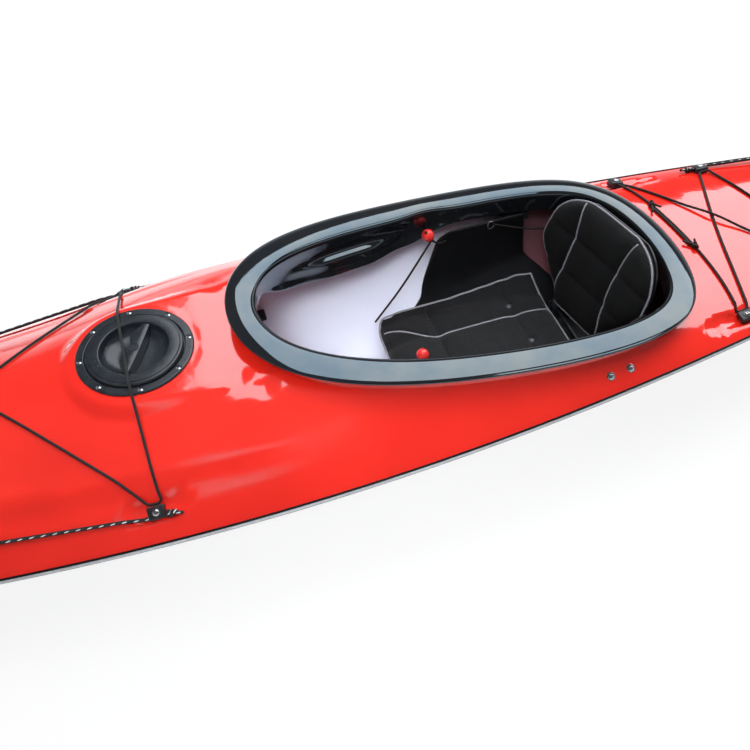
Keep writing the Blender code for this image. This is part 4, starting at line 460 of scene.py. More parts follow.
def deck_details(x, y):
    """The small forms of the moulding: folds, scallops, recesses for the blocks, and faint waves."""
    height = knuckle_ridge(x, y)
    for sx, sy, width, depth in SCALLOPS:
        height = height - depth * bell(np.hypot(x - sx, y - sy), width)
    for bx, reach, _ in BOW_BLOCKS[:2] + STERN_BLOCKS[:2]:
        by = reach * float(half_beam(bx))
        slope = float(half_beam(bx + 0.05) - half_beam(bx - 0.05)) / 0.1
        along = (x - bx) + slope * (np.abs(y) - by * 0.985)
        across = (np.abs(y) - by * 0.985) - slope * (x - bx)
        oval = np.hypot(along / 0.056, across / 0.019)
        height = height - 0.0050 * (1.0 - ease(0.60, 1.12, oval))
    wave = np.sin(31.0 * x + 9.0 * y + 0.7) * np.sin(23.0 * y - 12.0 * x + 1.9)
    wave = wave + 0.7 * np.sin(47.0 * x - 38.0 * y + 2.1) * np.sin(19.0 * x + 41.0 * y)
    ripple = np.sin(83.0 * x + 61.0 * y + 0.4) * np.sin(71.0 * y - 57.0 * x + 1.1)
    return height + 0.00026 * wave + 0.00005 * ripple


def deck_crown(x, y):
    """Height of the deck's outer surface before the cockpit and the hatch shape it."""
    half = HULL_LENGTH / 2.0
    camber = lerp(AFT_CAMBER, FORE_CAMBER, ease(-0.75, 0.10, x))
    camber = lerp(camber, BOW_CAMBER, ease(0.55, half, x))
    power = lerp(AFT_CROWN_POWER, FORE_CROWN_POWER, ease(-0.60, 0.0, x))
    power = lerp(power, BOW_CROWN_POWER, ease(BOW_CROWN_START, BOW_CROWN_END, x))
    power = lerp(power, END_CROWN_POWER, ease(0.8, half, np.abs(x)))
    across = np.clip(np.abs(y) / half_beam(x), 0.0, 1.0)
    return sheer(x) + WALL + camber * (1.0 - across ** power)


def deck_top(x, y):
    """Height of the deck's outer surface."""
    x, y = np.asarray(x, float), np.asarray(y, float)
    height = deck_crown(x, y)
    rear = COCKPIT_X + COCKPIT_HALF_LENGTH - HOLE_INSET
    away = np.hypot(np.maximum(np.maximum(x - HATCH_X, rear - x), 0.0), y)
    seat = HATCH_RADIUS + PLATEAU_MARGIN
    off_flat = ease(seat, seat + 0.030, away)
    height = lerp(plateau(x), height, off_flat)
    margin = 1.0 - ease(0.86, 0.97, np.abs(y) / half_beam(x))
    height = height + deck_details(x, y) * margin * ease(seat - 0.004, seat + 0.012, np.hypot(x - HATCH_X, y))
    distance = cockpit_distance(x, y)
    lip = coaming_height(x, y)
    raw = height - (lip - LIP_HOOK - 0.005)
    over = 0.5 * (raw + np.sqrt(raw * raw + 0.003 ** 2))
    lowered = height - over * (1.0 - ease(0.0, 0.05, distance))
    shaped = lerp(lip - LIP_SHELL, lowered, ease(-RISER_INSET, -RISER_FOOT, distance))
    return np.where(distance > 0.06, height, shaped)


def deck_normal(x, y):
    """The deck's outward direction at points in plan."""
    step = NORMAL_STEP
    reach = half_beam(x) - 2.0 * step
    y = np.clip(y, -reach, reach)
    dx = (deck_top(x + step, y) - deck_top(x - step, y)) / (2.0 * step)
    dy = (deck_top(x, y + step) - deck_top(x, y - step)) / (2.0 * step)
    normal = np.stack([-dx, -dy, np.ones_like(dx)], axis=-1)
    return normal / np.linalg.norm(normal, axis=-1, keepdims=True)


class Nodes:
    """Builds up a node tree, node by node."""

    def __init__(self, tree):
        self.tree = tree

    def fill(self, made, **sockets):
        """Set a node's inputs, each to a value or to another node's output."""
        for key, value in sockets.items():
            socket = made.inputs[key.replace("_", " ")]
            if isinstance(value, bpy.types.NodeSocket):
                self.tree.links.new(value, socket)
            else:
                socket.default_value = value
        return made

    def node(self, kind, settings=None, **sockets):
        """A new node with its settings made and its inputs filled."""
        made = self.tree.nodes.new("ShaderNode" + kind)
        for key, value in (settings or {}).items():
            setattr(made, key, value)
        return self.fill(made, **sockets)

    def math(self, operation, *values):
        """One sum over numbers or other nodes' outputs."""
        made = self.node("Math", {"operation": operation})
        for socket, value in zip(made.inputs, values):
            if isinstance(value, (int, float)):
                socket.default_value = value
            else:
                self.tree.links.new(value, socket)
        return made.outputs[0]

    def span(self, source, low, high, start=0.0, end=1.0):
        """Numbers from low to high that follow a source value."""
        ends = {"From_Min": start, "From_Max": end, "To_Min": low, "To_Max": high}
        return self.node("MapRange", Value=source, **ends).outputs["Result"]


class Look(Nodes):
    """A procedural material."""

    def __init__(self, name, colour, roughness, **sockets):
        self.material = bpy.data.materials.new(name)
        self.material.use_nodes = True
        super().__init__(self.material.node_tree)
        self.shader = self.tree.nodes["Principled BSDF"]
        self.fill(self.shader, Base_Color=(*colour, 1.0), Roughness=roughness, **sockets)
        self.material.diffuse_color = (*colour, 1.0)
        self.place = self.node("TexCoord").outputs["Object"]

    def stretched(self, scale):
        """Place coordinates scaled by a different amount along each axis."""
        return self.node("Mapping", Scale=scale, Vector=self.place).outputs["Vector"]

    def noise(self, scale, detail=3.0, rough=0.55, vector=None):
        return self.node("TexNoise", Scale=scale, Detail=detail, Roughness=rough,
                         Vector=vector or self.place).outputs["Fac"]

    def wave(self, scale, direction, distortion=0.0):
        return self.node("TexWave", {"bands_direction": direction}, Scale=scale, Distortion=distortion,
                         Detail=1.0, Vector=self.place).outputs["Fac"]

    def cells(self, scale):
        return self.node("TexVoronoi", Scale=scale, Vector=self.place).outputs["Distance"]

    def ramp(self, source, stops):
        """Colours that follow a source value."""
        made = self.node("ValToRGB", Fac=source)
        while len(made.color_ramp.elements) < len(stops):
            made.color_ramp.elements.new(0.5)
        for element, (place, colour) in zip(made.color_ramp.elements, stops):
            element.position = place
            element.color = (*colour, 1.0)
        return made.outputs["Color"]

    def mottle(self, dark, pale, scale, detail=3.0, low=0.3, high=0.7):
        """A colour that drifts between two shades."""
        return self.ramp(self.noise(scale, detail), ((low, dark), (high, pale)))

    def colour(self, source):
        self.fill(self.shader, Base_Color=source)

    def roughness(self, source, low, high, start=0.0, end=1.0):
        self.fill(self.shader, Roughness=self.span(source, low, high, start, end))

    def bump(self, source, strength, distance, under=None):
        made = self.node("Bump", Strength=strength, Distance=distance, Height=source)
        if under:
            self.fill(made, Normal=under)
        self.fill(self.shader, Normal=made.outputs["Normal"])
        return made.outputs["Normal"]


def deck_look():
    """Bright red gelcoat under a clear coat, with the faint waves of a hand-laid skin."""
    look = Look("deck_red", (0.74, 0.012, 0.009), 0.12, IOR=1.6, Coat_Weight=1.0, Coat_Roughness=0.03)
    look.colour(look.mottle((0.70, 0.017, 0.009), (0.82, 0.023, 0.012), 5.0, 2.0))
    look.roughness(look.noise(60.0, 4.0), 0.08, 0.15)
    look.fill(look.shader, Coat_Normal=look.bump(look.noise(26.0, 2.0, 0.5), 0.10, 0.0030))
    return look.material


def hull_look():
    """White gelcoat with a faint orange peel."""
    look = Look("hull_white", (0.84, 0.85, 0.88), 0.22, Coat_Weight=0.5, Coat_Roughness=0.06)
    look.colour(look.mottle((0.80, 0.81, 0.84), (0.87, 0.87, 0.90), 4.0, 2.0))
    look.roughness(look.noise(80.0), 0.18, 0.30)
    look.bump(look.noise(240.0, 2.0), 0.10, 0.0004)
    return look.material


def inner_look():
    """The hull's satin inner face, faintly lavender, with painted shade: dusky pink aft, where only the red deck
    lets light in.
    """
    look = Look("hull_inner_white", (0.90, 0.90, 0.97), 0.42)
    white = look.mottle((0.77, 0.80, 0.95), (0.82, 0.85, 0.99), 6.0)
    # Painted shade: a dusky pink that takes over from the white towards the stern
    painted_shade = look.mottle((0.13, 0.042, 0.052), (0.18, 0.056, 0.07), 9.0)
    aft = look.node("SeparateXYZ", Vector=look.place).outputs["X"]
    mixed = look.node("Mix", {"data_type": "RGBA"}, Factor=look.span(aft, 1.0, 0.0, *PAINTED_SHADE_X))
    look.tree.links.new(white, mixed.inputs[6])
    look.tree.links.new(painted_shade, mixed.inputs[7])
    look.colour(mixed.outputs[2])
    look.roughness(look.noise(45.0), 0.34, 0.50)
    look.bump(look.math("ADD", look.wave(190.0, "X"), look.wave(190.0, "Y")), 0.06, 0.0003)
    return look.material


def gloss_black_look():
    """Deep gloss black laminate under a polished clear coat."""
    look = Look("gloss_black", (0.006, 0.0065, 0.008), 0.06, IOR=2.0,
                Specular_Tint=(0.72, 0.91, 1.0, 1.0))
    look.colour(look.mottle((0.005, 0.0055, 0.007), (0.009, 0.0095, 0.011), 12.0))
    look.roughness(look.noise(90.0, 4.0), 0.035, 0.075)
    haze = look.mottle((0.56, 0.76, 0.90), (0.90, 0.99, 1.0), 8.0, 4.0, 0.36, 0.64)
    look.fill(look.shader, Specular_Tint=haze)
    look.bump(look.noise(18.0, 2.0), 0.10, 0.0015)
    return look.material


def moulded_look(name, colour, low, high, grain=900.0, depth=0.25, **sockets):
    """Moulded black plastic or rubber with a fine grain."""
    look = Look(name, colour, 0.5 * (low + high), **sockets)
    pale = tuple(min(1.0, c * 1.5 + 0.002) for c in colour)
    look.colour(look.mottle(colour, pale, 30.0, 4.0, 0.35, 0.8))
    look.roughness(look.noise(160.0), low, high)
    look.bump(look.noise(grain, 2.0), depth, 0.0003)
    return look.material


def cloth_look(name, dark, pale, pitch, sheen):
    """Woven fabric: two sets of yarns, a heather of paler fibres and a soft sheen."""
    look = Look(name, dark, 0.85, Sheen_Weight=sheen, Sheen_Roughness=0.5)
    warp, weft, rise = (look.wave(pitch, axis, 0.6) for axis in "XYZ")
    yarns = look.math("MULTIPLY", look.math("MAXIMUM", warp, rise), weft)
    fibres = look.noise(420.0, 3.0, 0.7)
    mixed = look.math("ADD", look.math("MULTIPLY", yarns, 0.45), look.math("MULTIPLY", fibres, 0.75))
    look.colour(look.ramp(mixed, ((0.25, dark), (0.85, pale))))
    look.roughness(look.noise(30.0), 0.78, 0.96)
    look.bump(yarns, 0.35, 0.0005, look.bump(look.noise(55.0, 4.0), 0.20, 0.0016))
    return look.material


def braid_look(name, dark, pale, fleck=None):
    """A braided cover, laid out along the cord: diamonds of strands, and flecks where asked."""
    look = Look(name, dark, 0.62, Sheen_Weight=0.04)
    uv = look.node("UVMap", {"uv_map": "along"}).outputs["UV"]
    split = look.node("SeparateXYZ", Vector=uv).outputs
    along = look.math("MULTIPLY", split["X"], 2.0 * math.pi / BRAID_PITCH)
    about = look.math("MULTIPLY", split["Y"], 4.0 * math.pi)
    first, second = (look.math("SINE", look.math(way, along, about)) for way in ("ADD", "SUBTRACT"))
    strands = look.math("MULTIPLY", first, second)
    lift = look.span(strands, 0.0, 1.0, -1.0, 1.0)
    stops = [(0.2, dark), (0.75, pale)]
    if fleck:
        slow = look.math("MULTIPLY", split["X"], 2.0 * math.pi / FLECK_PITCH)
        turning = look.math("SINE", look.math("ADD", about, slow))
        spot = look.math("MULTIPLY", look.math("SINE", slow), turning)
        lift = look.math("ADD", look.math("MULTIPLY", lift, 0.6), look.span(spot, 0.0, 0.45, 0.70, 0.78))
        stops = [(0.1, dark), (0.58, pale), (0.80, fleck)]
    look.colour(look.ramp(lift, stops))
    look.roughness(strands, 0.55, 0.80, -1.0, 1.0)
    look.bump(strands, 0.6, 0.0006)
    return look.material


def steel_look():
    """Brushed stainless steel with fine turning marks."""
    look = Look("steel", (0.60, 0.60, 0.61), 0.24, Metallic=1.0)
    fine = look.noise(700.0, 3.0, 0.6, look.stretched((1.0, 1.0, 6.0)))
    look.colour(look.ramp(fine, ((0.3, (0.50, 0.50, 0.51)), (0.7, (0.70, 0.70, 0.71)))))
    look.roughness(fine, 0.16, 0.34)
    return look.material


def silver_look():
    """Satin aluminium-coloured strip with lengthways drawing marks."""
    look = Look("trim_silver", (0.46, 0.46, 0.49), 0.34, Metallic=0.35)
    drawn = look.noise(300.0, 3.0, 0.6, look.stretched((0.05, 1.0, 3.0)))
    look.colour(look.ramp(drawn, ((0.3, (0.50, 0.51, 0.53)), (0.7, (0.72, 0.73, 0.76)))))
    look.roughness(drawn, 0.28, 0.44)
    return look.material


def foam_look(name, colour):
    """Closed-cell foam."""
    look = Look(name, colour, 0.9)
    cells = look.cells(420.0)
    dark, pale = (tuple(share * part for part in colour) for share in (0.6, 1.45))
    look.colour(look.ramp(cells, ((0.1, dark), (0.7, pale))))
    look.roughness(look.noise(50.0), 0.82, 0.98)
    look.bump(cells, 0.5, 0.0008)
    return look.material


def ball_look():
    """Glossy red plastic."""
    look = Look("ball_red", (0.72, 0.028, 0.022), 0.22, Coat_Weight=0.6, Coat_Roughness=0.08)
    look.colour(look.mottle((0.66, 0.022, 0.018), (0.80, 0.036, 0.028), 60.0))
    look.roughness(look.noise(220.0), 0.18, 0.32)
    return look.material


LOOKS = {
    "deck_red": deck_look(),
    "hull_white": hull_look(),
    "inner": inner_look(),
    "gloss_black": gloss_black_look(),
    "matte_black": moulded_look("matte_black", (0.012, 0.013, 0.015), 0.24, 0.36),
    "lid_black": moulded_look("lid_black", (0.012, 0.0145, 0.018), 0.17, 0.24),
    "button_black": moulded_look("button_black", (0.034, 0.038, 0.045), 0.22, 0.34),
    "pan_black": moulded_look("pan_black", (0.004, 0.0042, 0.005), 0.28, 0.40, 700.0, 0.10),
    "trim_black": moulded_look("trim_black", (0.003, 0.003, 0.0035), 0.34, 0.48, IOR=1.22),
    "trim_silver": silver_look(),
    "pad_black": cloth_look("pad_black", (0.003, 0.003, 0.0035), (0.014, 0.0145, 0.016), 620.0, 0.06),
    # The backrest's cloth: the pad cloth made darker, painted shade on the upright pad
    "back_black": cloth_look("back_black", (0.0008, 0.0008, 0.0009), (0.0042, 0.0043, 0.0048), 620.0, 0.02),
    "lining_black": cloth_look("lining_black", (0.004, 0.004, 0.005), (0.020, 0.020, 0.022), 380.0, 0.06),
    "piping_grey": braid_look("piping_grey", (0.17, 0.17, 0.19), (0.34, 0.34, 0.38)),
    "cord_black": braid_look("cord_black", (0.003, 0.003, 0.003), (0.016, 0.013, 0.013)),
    "line_black": braid_look("line_black", (0.003, 0.003, 0.003), (0.014, 0.012, 0.012), (0.70, 0.70, 0.70)),
    "steel": steel_look(),
    "rubber_black": moulded_look("rubber_black", (0.012, 0.012, 0.012), 0.55, 0.75, 500.0),
    "ball_red": ball_look(),
    "foam_grey": foam_look("foam_grey", (0.10, 0.10, 0.11)),
    # A dusky pink foam colour: painted shade for the aft bulkhead under the red deck
    "foam_painted_shade": foam_look("foam_painted_shade", (0.09, 0.03, 0.036)),
}

for subpart in frame["record"]["subparts"]:
    node = frame["nodes"][subpart["node"]]
    look = LOOKS[subpart["material_slot"]]
    if node.data.materials:
        node.data.materials[0] = look
    else:
        node.data.materials.append(look)


frame["nodes"]["backrest_pin"].data.materials[0] = LOOKS["matte_black"]
# The aft bulkhead's foam gets painted shade: dusky pink, as where only light through the red deck reaches it
frame["nodes"]["aft_bulkhead"].data.materials[0] = LOOKS["foam_painted_shade"]


def add_piece(name, mesh, looks, body, slot, *nodes):
    """Put a mesh in the scene as a piece that rides on a body, in place of some nodes."""
    made = bpy.data.objects.new(name, mesh)
    scene.collection.objects.link(made)
    slots = np.zeros(len(mesh.polygons), np.int32)
    mesh.polygons.foreach_get("material_index", slots)
    mesh.materials.clear()
    for look in [looks] if isinstance(looks, str) else looks:
        mesh.materials.append(LOOKS[look])
    mesh.polygons.foreach_set("material_index", slots)
    if body:
        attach(made, body)
    if nodes:
        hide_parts(*nodes)
    return made


def smoothed(mesh, angle):
    """Shade a mesh smooth, apart from the edges sharper than an angle in degrees."""
    mesh.shade_smooth()
    mesh.set_sharp_from_angle(angle=math.radians(angle))
    return mesh


def solid(name, part, angle=40.0):
    """A closed mesh from points and faces, turned outwards and smooth on its round stretches."""
    mesh = bpy.data.meshes.new(name)
    mesh.from_pydata([tuple(map(float, point)) for point in part[0]], [], part[1])
    bm = bmesh.new()
    bm.from_mesh(mesh)
    bmesh.ops.recalc_face_normals(bm, faces=bm.faces)
    bm.to_mesh(mesh)
    bm.free()
    return smoothed(mesh, angle)


def add_solid(name, part, look, body, slot, *nodes, angle=40.0):
    """A piece made from points and faces."""
    return add_piece(name, solid(name, part, angle), look, body, slot, *nodes)


def skin(rows, closed=False):
    """Points and faces of a skin over a stack of closed rings, capped or joined up."""
    rows = np.asarray(rows, float)
    count, width = rows.shape[:2]
    faces = []
    for i in range(count if closed else count - 1):
        a, b = i * width, (i + 1) % count * width
        for k in range(width):
            n = (k + 1) % width
            faces.append((a + k, a + n, b + n, b + k))
    if not closed:
        faces.append(tuple(range(width)))
        faces.append(tuple(range((count - 1) * width, count * width)))
    return rows.reshape(-1, 3), faces


def mirrored(half):
    """A section from its lower half."""
    return list(half) + [(a, -b) for a, b in reversed(half)]


def join_parts(parts):
    """Several runs of points and faces as one."""
    points, faces = [], []
    for some_points, some_faces in parts:
        start = len(points)
        points.extend([tuple(p) for p in some_points])
        faces.extend([tuple(start + k for k in face) for face in some_faces])
    return points, faces


def spin(profile, place, steps=HATCH_STEPS):
    """Points and faces of a closed profile of (radius, height) turned round a frame's Z axis."""
    turns = circle(steps)
    rows = []
    for radius, height in profile:
        ring = np.stack([radius * np.cos(turns), radius * np.sin(turns), np.full(steps, height)], axis=1)
        rows.append(ring if radius > 1e-9 else ring[:1])
    points, faces, starts = [], [], []
    for row in rows:
        starts.append(len(points))
        points.extend(tuple(place @ Vector(point)) for point in row)
    last = len(rows) - 1
    open_run = len(rows[0]) == 1 and len(rows[last]) == 1
    for i in range(last if open_run else last + 1):
        a, b = i, (i + 1) % (last + 1)
        for k in range(steps):
            n = (k + 1) % steps
            if len(rows[a]) == 1:
                faces.append((starts[a], starts[b] + k, starts[b] + n))
            elif len(rows[b]) == 1:
                faces.append((starts[a] + k, starts[b], starts[a] + n))
            else:
                faces.append((starts[a] + k, starts[a] + n, starts[b] + n, starts[b] + k))
    return points, faces


def axis_frame(origin, direction, hint=(1.0, 0.0, 0.0)):
    """A frame at a point whose Z axis runs along a direction."""
    z = Vector(direction).normalized()
    hint = Vector(hint)
    x = (hint - z * hint.dot(z)).normalized()
    made = Matrix((x, z.cross(x), z)).transposed().to_4x4()
    made.translation = origin
    return made


def shifted(place, x=0.0, y=0.0, z=0.0):
    """A frame moved along its own axes."""
    return place @ Matrix.Translation((x, y, z))


def turned(place, angle, axis):
    """A frame turned about one of its own axes."""
    return place @ Matrix.Rotation(angle, 4, axis)


def smooth_route(points, spacing):
    """Points at an even spacing on a smooth curve through a route's own points."""
    points = [Vector(point) for point in points]
    knots = [points[0] * 2.0 - points[1]] + points + [points[-1] * 2.0 - points[-2]]
    fine = []
    for i in range(1, len(knots) - 2):
        a, b, c, d = knots[i - 1:i + 3]
        for step in range(12):
            t = step / 12.0
            fine.append(0.5 * ((2.0 * b) + (c - a) * t + (2.0 * a - 5.0 * b + 4.0 * c - d) * t * t
                               + (3.0 * b - a - 3.0 * c + d) * t * t * t))
    fine.append(points[-1])
    fine = np.array([tuple(point) for point in fine])
    lengths = np.concatenate([[0.0], np.cumsum(np.linalg.norm(np.diff(fine, axis=0), axis=1))])
    count = max(3, round(lengths[-1] / spacing))
    want = np.linspace(0.0, lengths[-1], count + 1)
    return [Vector([float(np.interp(w, lengths, fine[:, i])) for i in range(3)]) for w in want]


def tube(route, radius, sides=TUBE_SIDES):
    """Points, faces and lengthways places of a round tube along a route, with round ends."""
    route = [Vector(point) for point in route]
    last = len(route) - 1
    runs = [(route[min(i + 1, last)] - route[max(i - 1, 0)]).normalized() for i in range(last + 1)]
    side = runs[0].orthogonal().normalized()
    rings, places, length = [], [], 0.0
    for i, (point, run) in enumerate(zip(route, runs)):
        side = (side - run * side.dot(run)).normalized()
        across = run.cross(side)
        if i:
            length += (point - route[i - 1]).length
        steps = [(0.0, 1.0)]
        if i == 0:
            steps = [(-0.55, 0.45), (-0.35, 0.80), (0.0, 1.0)]
        elif i == last:
            steps = [(0.0, 1.0), (0.35, 0.80), (0.55, 0.45)]
        for shift, share in steps:
            spokes = [side * math.cos(turn) + across * math.sin(turn)
                      for turn in (2.0 * math.pi * k / sides for k in range(sides))]
            hub = point + run * (shift * radius)
            rings.append([tuple(hub + spoke * (radius * share)) for spoke in spokes])
            places.append(length + shift * radius)
    return (*skin(rings), places)


def tube_piece(name, tubes, look, body, slot, *nodes):
    """One piece made of tubes, with a lengthways map for its braid."""
    mesh = solid(name, join_parts([cord[:2] for cord in tubes]), 60.0)
    along = [place for _, _, places in tubes for place in places for _ in range(TUBE_SIDES)]
    layer = mesh.uv_layers.new(name="along")
    corners = np.zeros(len(mesh.loops), np.int32)
    mesh.loops.foreach_get("vertex_index", corners)
    uv = np.stack([np.asarray(along)[corners], (corners % TUBE_SIDES) / TUBE_SIDES], axis=1)
    for polygon in mesh.polygons:
        part = uv[polygon.loop_start:polygon.loop_start + polygon.loop_total, 1]
        if len(part) == 4 and part.max() - part.min() > 0.5:
            part[part < 0.25] += 1.0
    layer.data.foreach_set("uv", uv.astype(np.float32).ravel())
    return add_piece(name, mesh, look, body, slot, *nodes)


def rounded_box(low, high, bevel, segments=3):
    """A box between two corners with rounded edges, as points and faces."""
    bm = bmesh.new()
    made = bmesh.ops.create_cube(bm, size=1.0)["verts"]
    for vert in made:
        vert.co = Vector([lerp(low[i], high[i], vert.co[i] + 0.5) for i in range(3)])
    bmesh.ops.bevel(bm, geom=list(bm.edges), offset=bevel, segments=segments, profile=0.5, affect="EDGES")
    bm.verts.index_update()
    points = [vert.co.copy() for vert in bm.verts]
    faces = [tuple(vert.index for vert in face.verts) for face in bm.faces]
    bm.free()
    return points, faces


def moved(part, place):
    """Points and faces carried into a frame."""
    return [tuple(place @ Vector(point)) for point in part[0]], part[1]


def make_deck():
    """The deck: one skin with its folds, the cockpit flange and the hatch flat."""
    points, edges = [], []

    def add_loop(loop):
        start = len(points)
        points.extend([tuple(map(float, point)) for point in loop])
        edges.extend((start + i, start + (i + 1) % len(loop)) for i in range(len(loop)))

    half = HULL_LENGTH / 2.0
    xs = np.concatenate([np.linspace(-half, -DECK_TIP_X, 26)[:-1],
                         np.arange(-DECK_TIP_X, DECK_TIP_X + 0.0001, DECK_STEP),
                         np.linspace(DECK_TIP_X, half, 26)[1:]])
    rim = np.concatenate([np.stack([xs, half_beam(xs)], 1), np.stack([xs[::-1], -half_beam(xs[::-1])], 1)])
    add_loop(rim)
    turns = circle(COCKPIT_STEPS)
    for inset in COCKPIT_LOOPS:
        add_loop(np.stack(cockpit_point(turns, inset), axis=1))
    hole = np.stack(cockpit_point(turns, HOLE_INSET), axis=1)
    spokes = circle(HATCH_STEPS)
    hatch_hole = HATCH_THROAT + LID_SHELL + 0.0004
    for radius in (hatch_hole, *HATCH_LOOPS):
        add_loop(np.stack([HATCH_X + radius * np.cos(spokes), radius * np.sin(spokes)], axis=1))
    shares = np.linspace(-1.0, 1.0, 41)[1:-1]
    shares = 0.65 * shares + 0.35 * np.sin(0.5 * math.pi * shares)
    rows = xs[1:-1]
    grid_x = np.repeat(rows, len(shares))
    grid_y = (half_beam(rows)[:, None] * shares[None, :]).ravel()
    thinned = np.tile(np.arange(len(shares)) % 4 != 3, len(rows))
    narrow = np.repeat(half_beam(rows) < 0.05, len(shares)) & thinned
    off_hatch = np.hypot(grid_x - HATCH_X, grid_y) > CLEAR_OF_HATCH
    free = (cockpit_distance(grid_x, grid_y) > CLEAR_OF_COCKPIT) & off_hatch & ~narrow
    points.extend(zip(grid_x[free].tolist(), grid_y[free].tolist()))
    result = delaunay_2d_cdt([Vector(point) for point in points], edges, [], 0, 1e-7)
    plan = np.array([tuple(point) for point in result[0]])
    corners = [tuple(face) for face in result[2]]
    middles = np.array([plan[list(face)].mean(0) for face in corners])
    mx, my = middles[:, 0], middles[:, 1]
    off_hatch = np.hypot(mx - HATCH_X, my) > hatch_hole - 0.0004
    keep = inside_loop(mx, my, rim) & ~inside_loop(mx, my, hole) & off_hatch
    kept = [face for face, wanted in zip(corners, keep) if wanted]
    top = deck_top(plan[:, 0], plan[:, 1])
    normal = deck_normal(plan[:, 0], plan[:, 1])
    upper = np.column_stack([plan, top])
    lower = upper - np.array([0.0, 0.0, WALL - GAP])
    count = len(plan)
    border = {}
    faces = []
    for face in kept:
        faces.append(face)
        faces.append(tuple(count + k for k in reversed(face)))
        for k in range(len(face)):
            a, b = face[k], face[(k + 1) % len(face)]
            if (b, a) in border:
                del border[(b, a)]
            else:
                border[(a, b)] = True
    faces.extend((b, a, a + count, b + count) for a, b in border)
    used = sorted({k for face in faces for k in face})
    place = {old: new for new, old in enumerate(used)}
    faces = [tuple(place[k] for k in face) for face in faces]
    points = np.concatenate([upper, lower])[used]
    normals = np.concatenate([normal, -normal])[used]
    mesh = bpy.data.meshes.new("deck")
    mesh.from_pydata(points.tolist(), [], faces)
    mesh.shade_smooth()
    mesh.normals_split_custom_set_from_vertices(normals.tolist())
    return add_piece("deck", mesh, "deck_red", "kayak", "deck_red", "deck_shell")


def soften(ring, reach):
    """Round a section's corners by averaging it along its length, with its ends held."""
    lengths = np.concatenate([[0.0], np.cumsum(np.linalg.norm(np.diff(ring, axis=0), axis=1))])
    count = max(8, round(lengths[-1] / SECTION_STEP))
    want = np.linspace(0.0, lengths[-1], count + 1)
    even = np.stack([np.interp(want, lengths, ring[:, 0]), np.interp(want, lengths, ring[:, 1])], axis=1)
    span = max(1, round(reach / (lengths[-1] / count)))
    before = 2.0 * even[0] - even[1:span + 1][::-1]
    after = 2.0 * even[-1] - even[-span - 1:-1][::-1]
    padded = np.concatenate([before, even, after])
    kernel = np.hanning(2 * span + 3)[1:-1]
    kernel = kernel / kernel.sum()
    smooth = np.stack([np.convolve(padded[:, i], kernel, "valid") for i in range(2)], axis=1)
    pick = np.linspace(0.0, 1.0, SECTION_POINTS) * count
    return np.stack([np.interp(pick, np.arange(count + 1), smooth[:, i]) for i in range(2)], axis=1)


def hull_rings(inset, xs):
    """Sections of the hull from port to starboard sheer, with the keel corners rounded."""
    rings = []
    for x in xs:
        side = hull_section(float(x), inset)
        ring = np.concatenate([side, side[::-1] * (-1.0, 1.0)])
        ring = soften(ring, 0.030 * min(1.0, float(half_beam(x)) / 0.2))
        rings.append(np.column_stack([np.full(len(ring), x), ring]))
    return np.array(rings)


def make_hull():
    """The hull: an open white boat with a satin inside, solid in its two tips."""
    start = HULL_LENGTH / 2.0 - STEM_LENGTH
    stem = start + STEM_LENGTH * np.sin(0.5 * math.pi * np.arange(1, 15) / 14.0)
    middle = np.linspace(-start, start, round(2.0 * start / STATION_STEP) + 1)
    xs = np.concatenate([-stem[::-1], middle, stem])
    first, last = len(stem), len(stem) + len(middle) - 1
    outer, inner = hull_rings(0.0, xs), hull_rings(WALL, middle)
    width = outer.shape[1]
    base = len(xs) * width
    white, satin = [], []
    for i in range(len(xs) - 1):
        a, b = i * width, (i + 1) * width
        white += [(a + k, b + k, b + k + 1, a + k + 1) for k in range(width - 1)]
    for i in range(len(middle) - 1):
        a, b = base + i * width, base + (i + 1) * width
        satin += [(a + k, a + k + 1, b + k + 1, b + k) for k in range(width - 1)]
        c, d = (first + i) * width, (first + i + 1) * width
        white += [(c + k, d + k, b + k, a + k) for k in (0, width - 1)]
    for i in list(range(first)) + list(range(last, len(xs) - 1)):
        a, b = i * width, (i + 1) * width
        white.append((a, b, b + width - 1, a + width - 1))
    for i, row in ((first, base), (last, base + (len(middle) - 1) * width)):
        satin.append((*range(row, row + width), i * width + width - 1, i * width))
    white += [tuple(range(row, row + width)) for row in (0, base - width)]
    mesh = solid("hull", (np.concatenate([outer.reshape(-1, 3), inner.reshape(-1, 3)]), white + satin), 35.0)
    mesh.polygons.foreach_set("material_index", [0] * len(white) + [1] * len(satin))
    add_piece("hull", mesh, ("hull_white", "inner"), "kayak", "hull_white", "hull_shell")


def trim_rings(side, section, xs):
    """Rings of a strip that runs along one gunwale, from its (out, up) section."""
    width = half_beam(xs)
    run = np.stack([np.gradient(xs), np.gradient(width)], axis=1)
    run = run / np.linalg.norm(run, axis=1, keepdims=True)
    out_x, out_y = -run[:, 1], run[:, 0]
    rings = []
    for u, v in section:
        rings.append(np.stack([xs + out_x * u, side * (width + out_y * u), sheer(xs) + v], axis=1))
    return np.array(rings).transpose(1, 0, 2)


